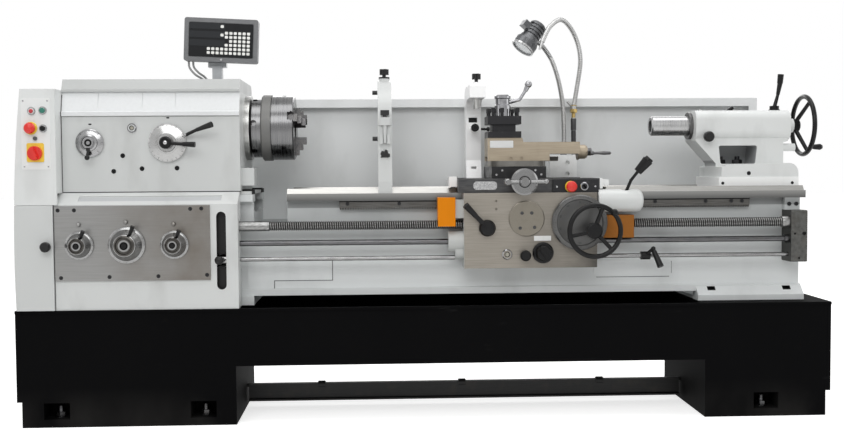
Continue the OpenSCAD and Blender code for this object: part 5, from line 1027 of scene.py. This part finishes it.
put("readout_window", on_console(plate(240, 127, 0.6, 4), 0, 0), window_black, smooth=False)
put("readout_displays", join([on_console(plate(132, 24, 0.5, 2), -52, up, 0.6) for up in (52, 20, -12)]),
    plastic("dark_display_glass", "#202225", 0.3, "#202225", 0.0, Specular_IOR_Level=0.2, Coat_Weight=0.0),
    smooth=False)
put("readout_odd_key", on_console(plate(11.5, 10.5, 2.6, 2.5), 36.5, -18, -0.6), key_white, smooth=False)
put("readout_rim_screw", on_console(cap_screw(3.6, 1.6), 2, -73), satin_chrome)
corner = console_low * (1, 0, 1)
cables = [tube(smooth_path(corner + np.array(way) * MM), 0.0042, 10, UP) for way in (
    [[14, -8, 12], [16, -4, -12], [34, 8, -36], [58, 30, -52], [76, 40, -68]],
    [[30, -6, 12], [32, -2, -10], [48, 10, -30], [66, 34, -44], [84, 46, -68]])]
put("readout_cables", join(cables), cable_grey)

# %% [markdown]
# ## Hoses
# The lamp's gooseneck and the coolant hose are bendable metal conduit: a strip wound into rings that
# hold where they are put. The radius swells and shrinks along the path once for each ring.

# %% Ringed conduit


def conduit(points, r, pitch, depth, sides=14):
    """Points at even distances along the path; radius = r + depth * (1 - |sin|), one swell for each pitch."""
    path = smooth_path(points)
    run = np.concatenate([[0], np.cumsum(np.linalg.norm(np.diff(path, axis=0), axis=1))])
    at = np.linspace(0, run[-1], max(int(run[-1] / (pitch / 4)), 2) + 1)
    path = np.stack([np.interp(at, run, path[:, k]) for k in range(3)], -1)
    return tube(path, r + depth * (1 - np.abs(np.sin(pi * at / pitch))), sides)


hose_x, hose_y = 0.661, 0.19
lamp_foot, hose_foot = np.array([0.62, hose_y, 0.958]), np.array([hose_x, hose_y, 1.164])
neck_route = [[0, 0, -3], [2, 0, 66], [0, -4, 150], [-8, -20, 224], [-30, -50, 310], [-60, -74, 384], [-98, -90, 436],
              [-126, -98, 456]]
hose_route = [[0, 0, 0], [12, 0, 66], [24, -20, 188], [-4, -40, 282], [-62, -92, 334], [-118, -136, 302],
              [-152, -158, 240]]
put("gooseneck_rings", conduit(lamp_foot + np.array(neck_route) * MM, 0.0085, 0.0062, 0.0012), conduit_zinc,
    "carriage")
put("coolant_hose_rings", conduit(hose_foot + np.array(hose_route) * MM, 0.0088, 0.0074, 0.0013), conduit_zinc,
    "carriage")
sleeves = [turned([0, 982, 9.2, 982, 9.8, 990, 9.8, 1060, 9.2, 1067, 0, 1067]),
           turned([0, 1067, 11.2, 1068, 11.2, 1112, 9.2, 1117, 0, 1117])]
fit("hose_sleeve", join(sleeves), (hose_x, hose_y, 0), cable_black, body="carriage", way=UP)
fit("hose_valve", turned([0, 1118, 7.8, 1118, 7.8, 1136, 13, 1139, 13, 1152, 10.5, 1155, 10.5, 1164, 13, 1166,
                          13, 1168.2, 0, 1168.2], 24, (3, 4)), (hose_x, hose_y, 0), brass, "carriage", UP)

# %% [markdown]
# ## Work lamp
# The lamp head is a spun reflector with a frosted glass in front and a knuckle behind it.

# %% Lamp glass, rim and knuckle
lamp_spot = lamp_foot + np.array([-150, -104, 470]) * MM
lamp_turn = np.array(Matrix.Rotation(radians(18), 3, "Z") @ Matrix.Rotation(radians(-142), 3, "Y"))
frosted = plastic("frosted_lamp_glass", "#dfe3e6", 0.12, "#c3c8cc", 0.1)
for name, profile, sides, finish, slot in (
        ("lamp_glass", [0, 49.5, 26, 51, 42.4, 49.5, 42.4, 47.5, 0, 47.5], 48, frosted, "label"),
        ("lamp_rim", [42.2, 50, 47.4, 49, 47.8, 56, 45, 57.2, 42.2, 56.5, 42.2, 50], 48, satin_chrome, "chrome"),
        ("lamp_knuckle", [0, -66, 27, -66, 30, -62, 30, -58, 0, -58], 32, oiled_steel, "dark_steel")):
    points, faces = turned(profile, sides)
    put(name, (points @ lamp_turn.T + lamp_spot, faces), finish, "carriage")

# %% [markdown]
# ## Control panel on the carriage
# A selector with a chrome ring and a stop button on a yellow base sit on the black panel.

# %% Panel fittings
panel = (box("control_panel")[0][0], 0, box("control_panel")[1][2] - 0.025)
stop_spot, selector_spot = spots(panel, PANEL_FACE, ((64, 0), (113, 0)))
fit("panel_stop_base", bezel(8.5, 20.7, 4.5, 18.5, 8.5), stop_spot, switch_yellow, "carriage")
fit("selector_ring", bezel(10.5, 16.3, 5.5, 14, 8.5), selector_spot, chrome, "carriage")
fit("selector_handle", plate(6.5, 20, 12.5, 3), (selector_spot[0], -0.2775, selector_spot[2]), handle_black,
    body="carriage", spin=radians(35))
screws("panel_cap_screws", 3.6, 2, spots(panel, -0.275, ((14, 0), (154, 0))), "carriage", satin_chrome)

# %% [markdown]
# ## Anchor bolts
# In each pocket of the plinth a stud comes up out of the floor through the foot plate, with a washer
# and a hexagon nut. The nut is a profile whose side rows are six-sided.

# %% Anchor bolts
anchor = join([turned([0, 2, 9.8, 2, 9.8, 68, 8.5, 70, 0, 70], 24),
               turned([9.8, 28.2, 18.5, 28.2, 18.5, 31.2, 9.8, 31.2, 9.8, 28.2]),
               turned([9.8, 31.3, 13.5, 31.3, 15, 32.5, 15, 46.2, 13.5, 47.5, 9.8, 47.5, 9.8, 31.3], 24,
                      (1, 2, 3, 4))])
anchor_places = [(x, y, 0) for x in (-1.285, -0.765, 1.285) for y in (-0.23, 0.23)]
put("anchor_bolts_and_nuts", row(anchor, anchor_places, UP, 0.4), oiled_steel)

# %% [markdown]
# ## Numbers on the dials
# Plain numbers stand round the speed dial and the carriage dial. Text is turned into a mesh first, so
# that its place can be kept in the mesh like that of every other piece.

# %% Numbers


def numbers(name, labels, centre, radius, height, turn_by, body, slope=0.0):
    """Numbers round a circle: each text mesh is turned by its own angle and carried out to the radius.

    On a cone the height of a point follows its distance from the centre: h = slope * (radius - r)."""
    rows, faces, count = [], [], 0
    for label, a in zip(labels, turn_by):
        curve = bpy.data.curves.new(name, "FONT")
        curve.body, curve.size, curve.resolution_u = label, height / 0.7, 2
        curve.align_x, curve.align_y = "CENTER", "CENTER"
        text = bpy.data.objects.new(name, curve)
        bpy.context.scene.collection.objects.link(text)
        bpy.context.view_layer.update()
        mesh = bpy.data.meshes.new_from_object(text.evaluated_get(bpy.context.evaluated_depsgraph_get()))
        points = np.empty(len(mesh.vertices) * 3)
        mesh.vertices.foreach_get("co", points)
        x, y, z = points.reshape(-1, 3).T
        c, d = cos(a), sin(a)
        x, y = x * c - y * d - radius * d, x * d + y * c + radius * c
        rows.append(np.column_stack([x, y, z + slope * (radius - np.hypot(x, y))]))
        faces += [tuple(v + count for v in f.vertices) for f in mesh.polygons]
        count += len(x)
        bpy.data.objects.remove(text)
        bpy.data.curves.remove(curve)
        bpy.data.meshes.remove(mesh)
    mesh = bpy.data.meshes.new(name)
    mesh.from_pydata((np.vstack(rows) @ towards(FRONT).T + np.array(centre)).tolist(), [], faces)
    return settle(name, mesh, oxide, body)


numbers("carriage_dial_numbers", [str(10 * k) for k in range(10)],
        (dial_spot[0], dial_spot[1] - 0.0178, dial_spot[2]), 0.073, 0.0075, -angles(10), "carriage")
numbers("speed_dial_numbers", ["25", "40", "70", "110", "160", "245", "320", "430", "560", "720", "950", "1400"],
        (dial_b[0], -0.2422, dial_b[2]), 0.0525, 0.0058, angles(12) + pi / 12, "speed_dial", 1 / 3)
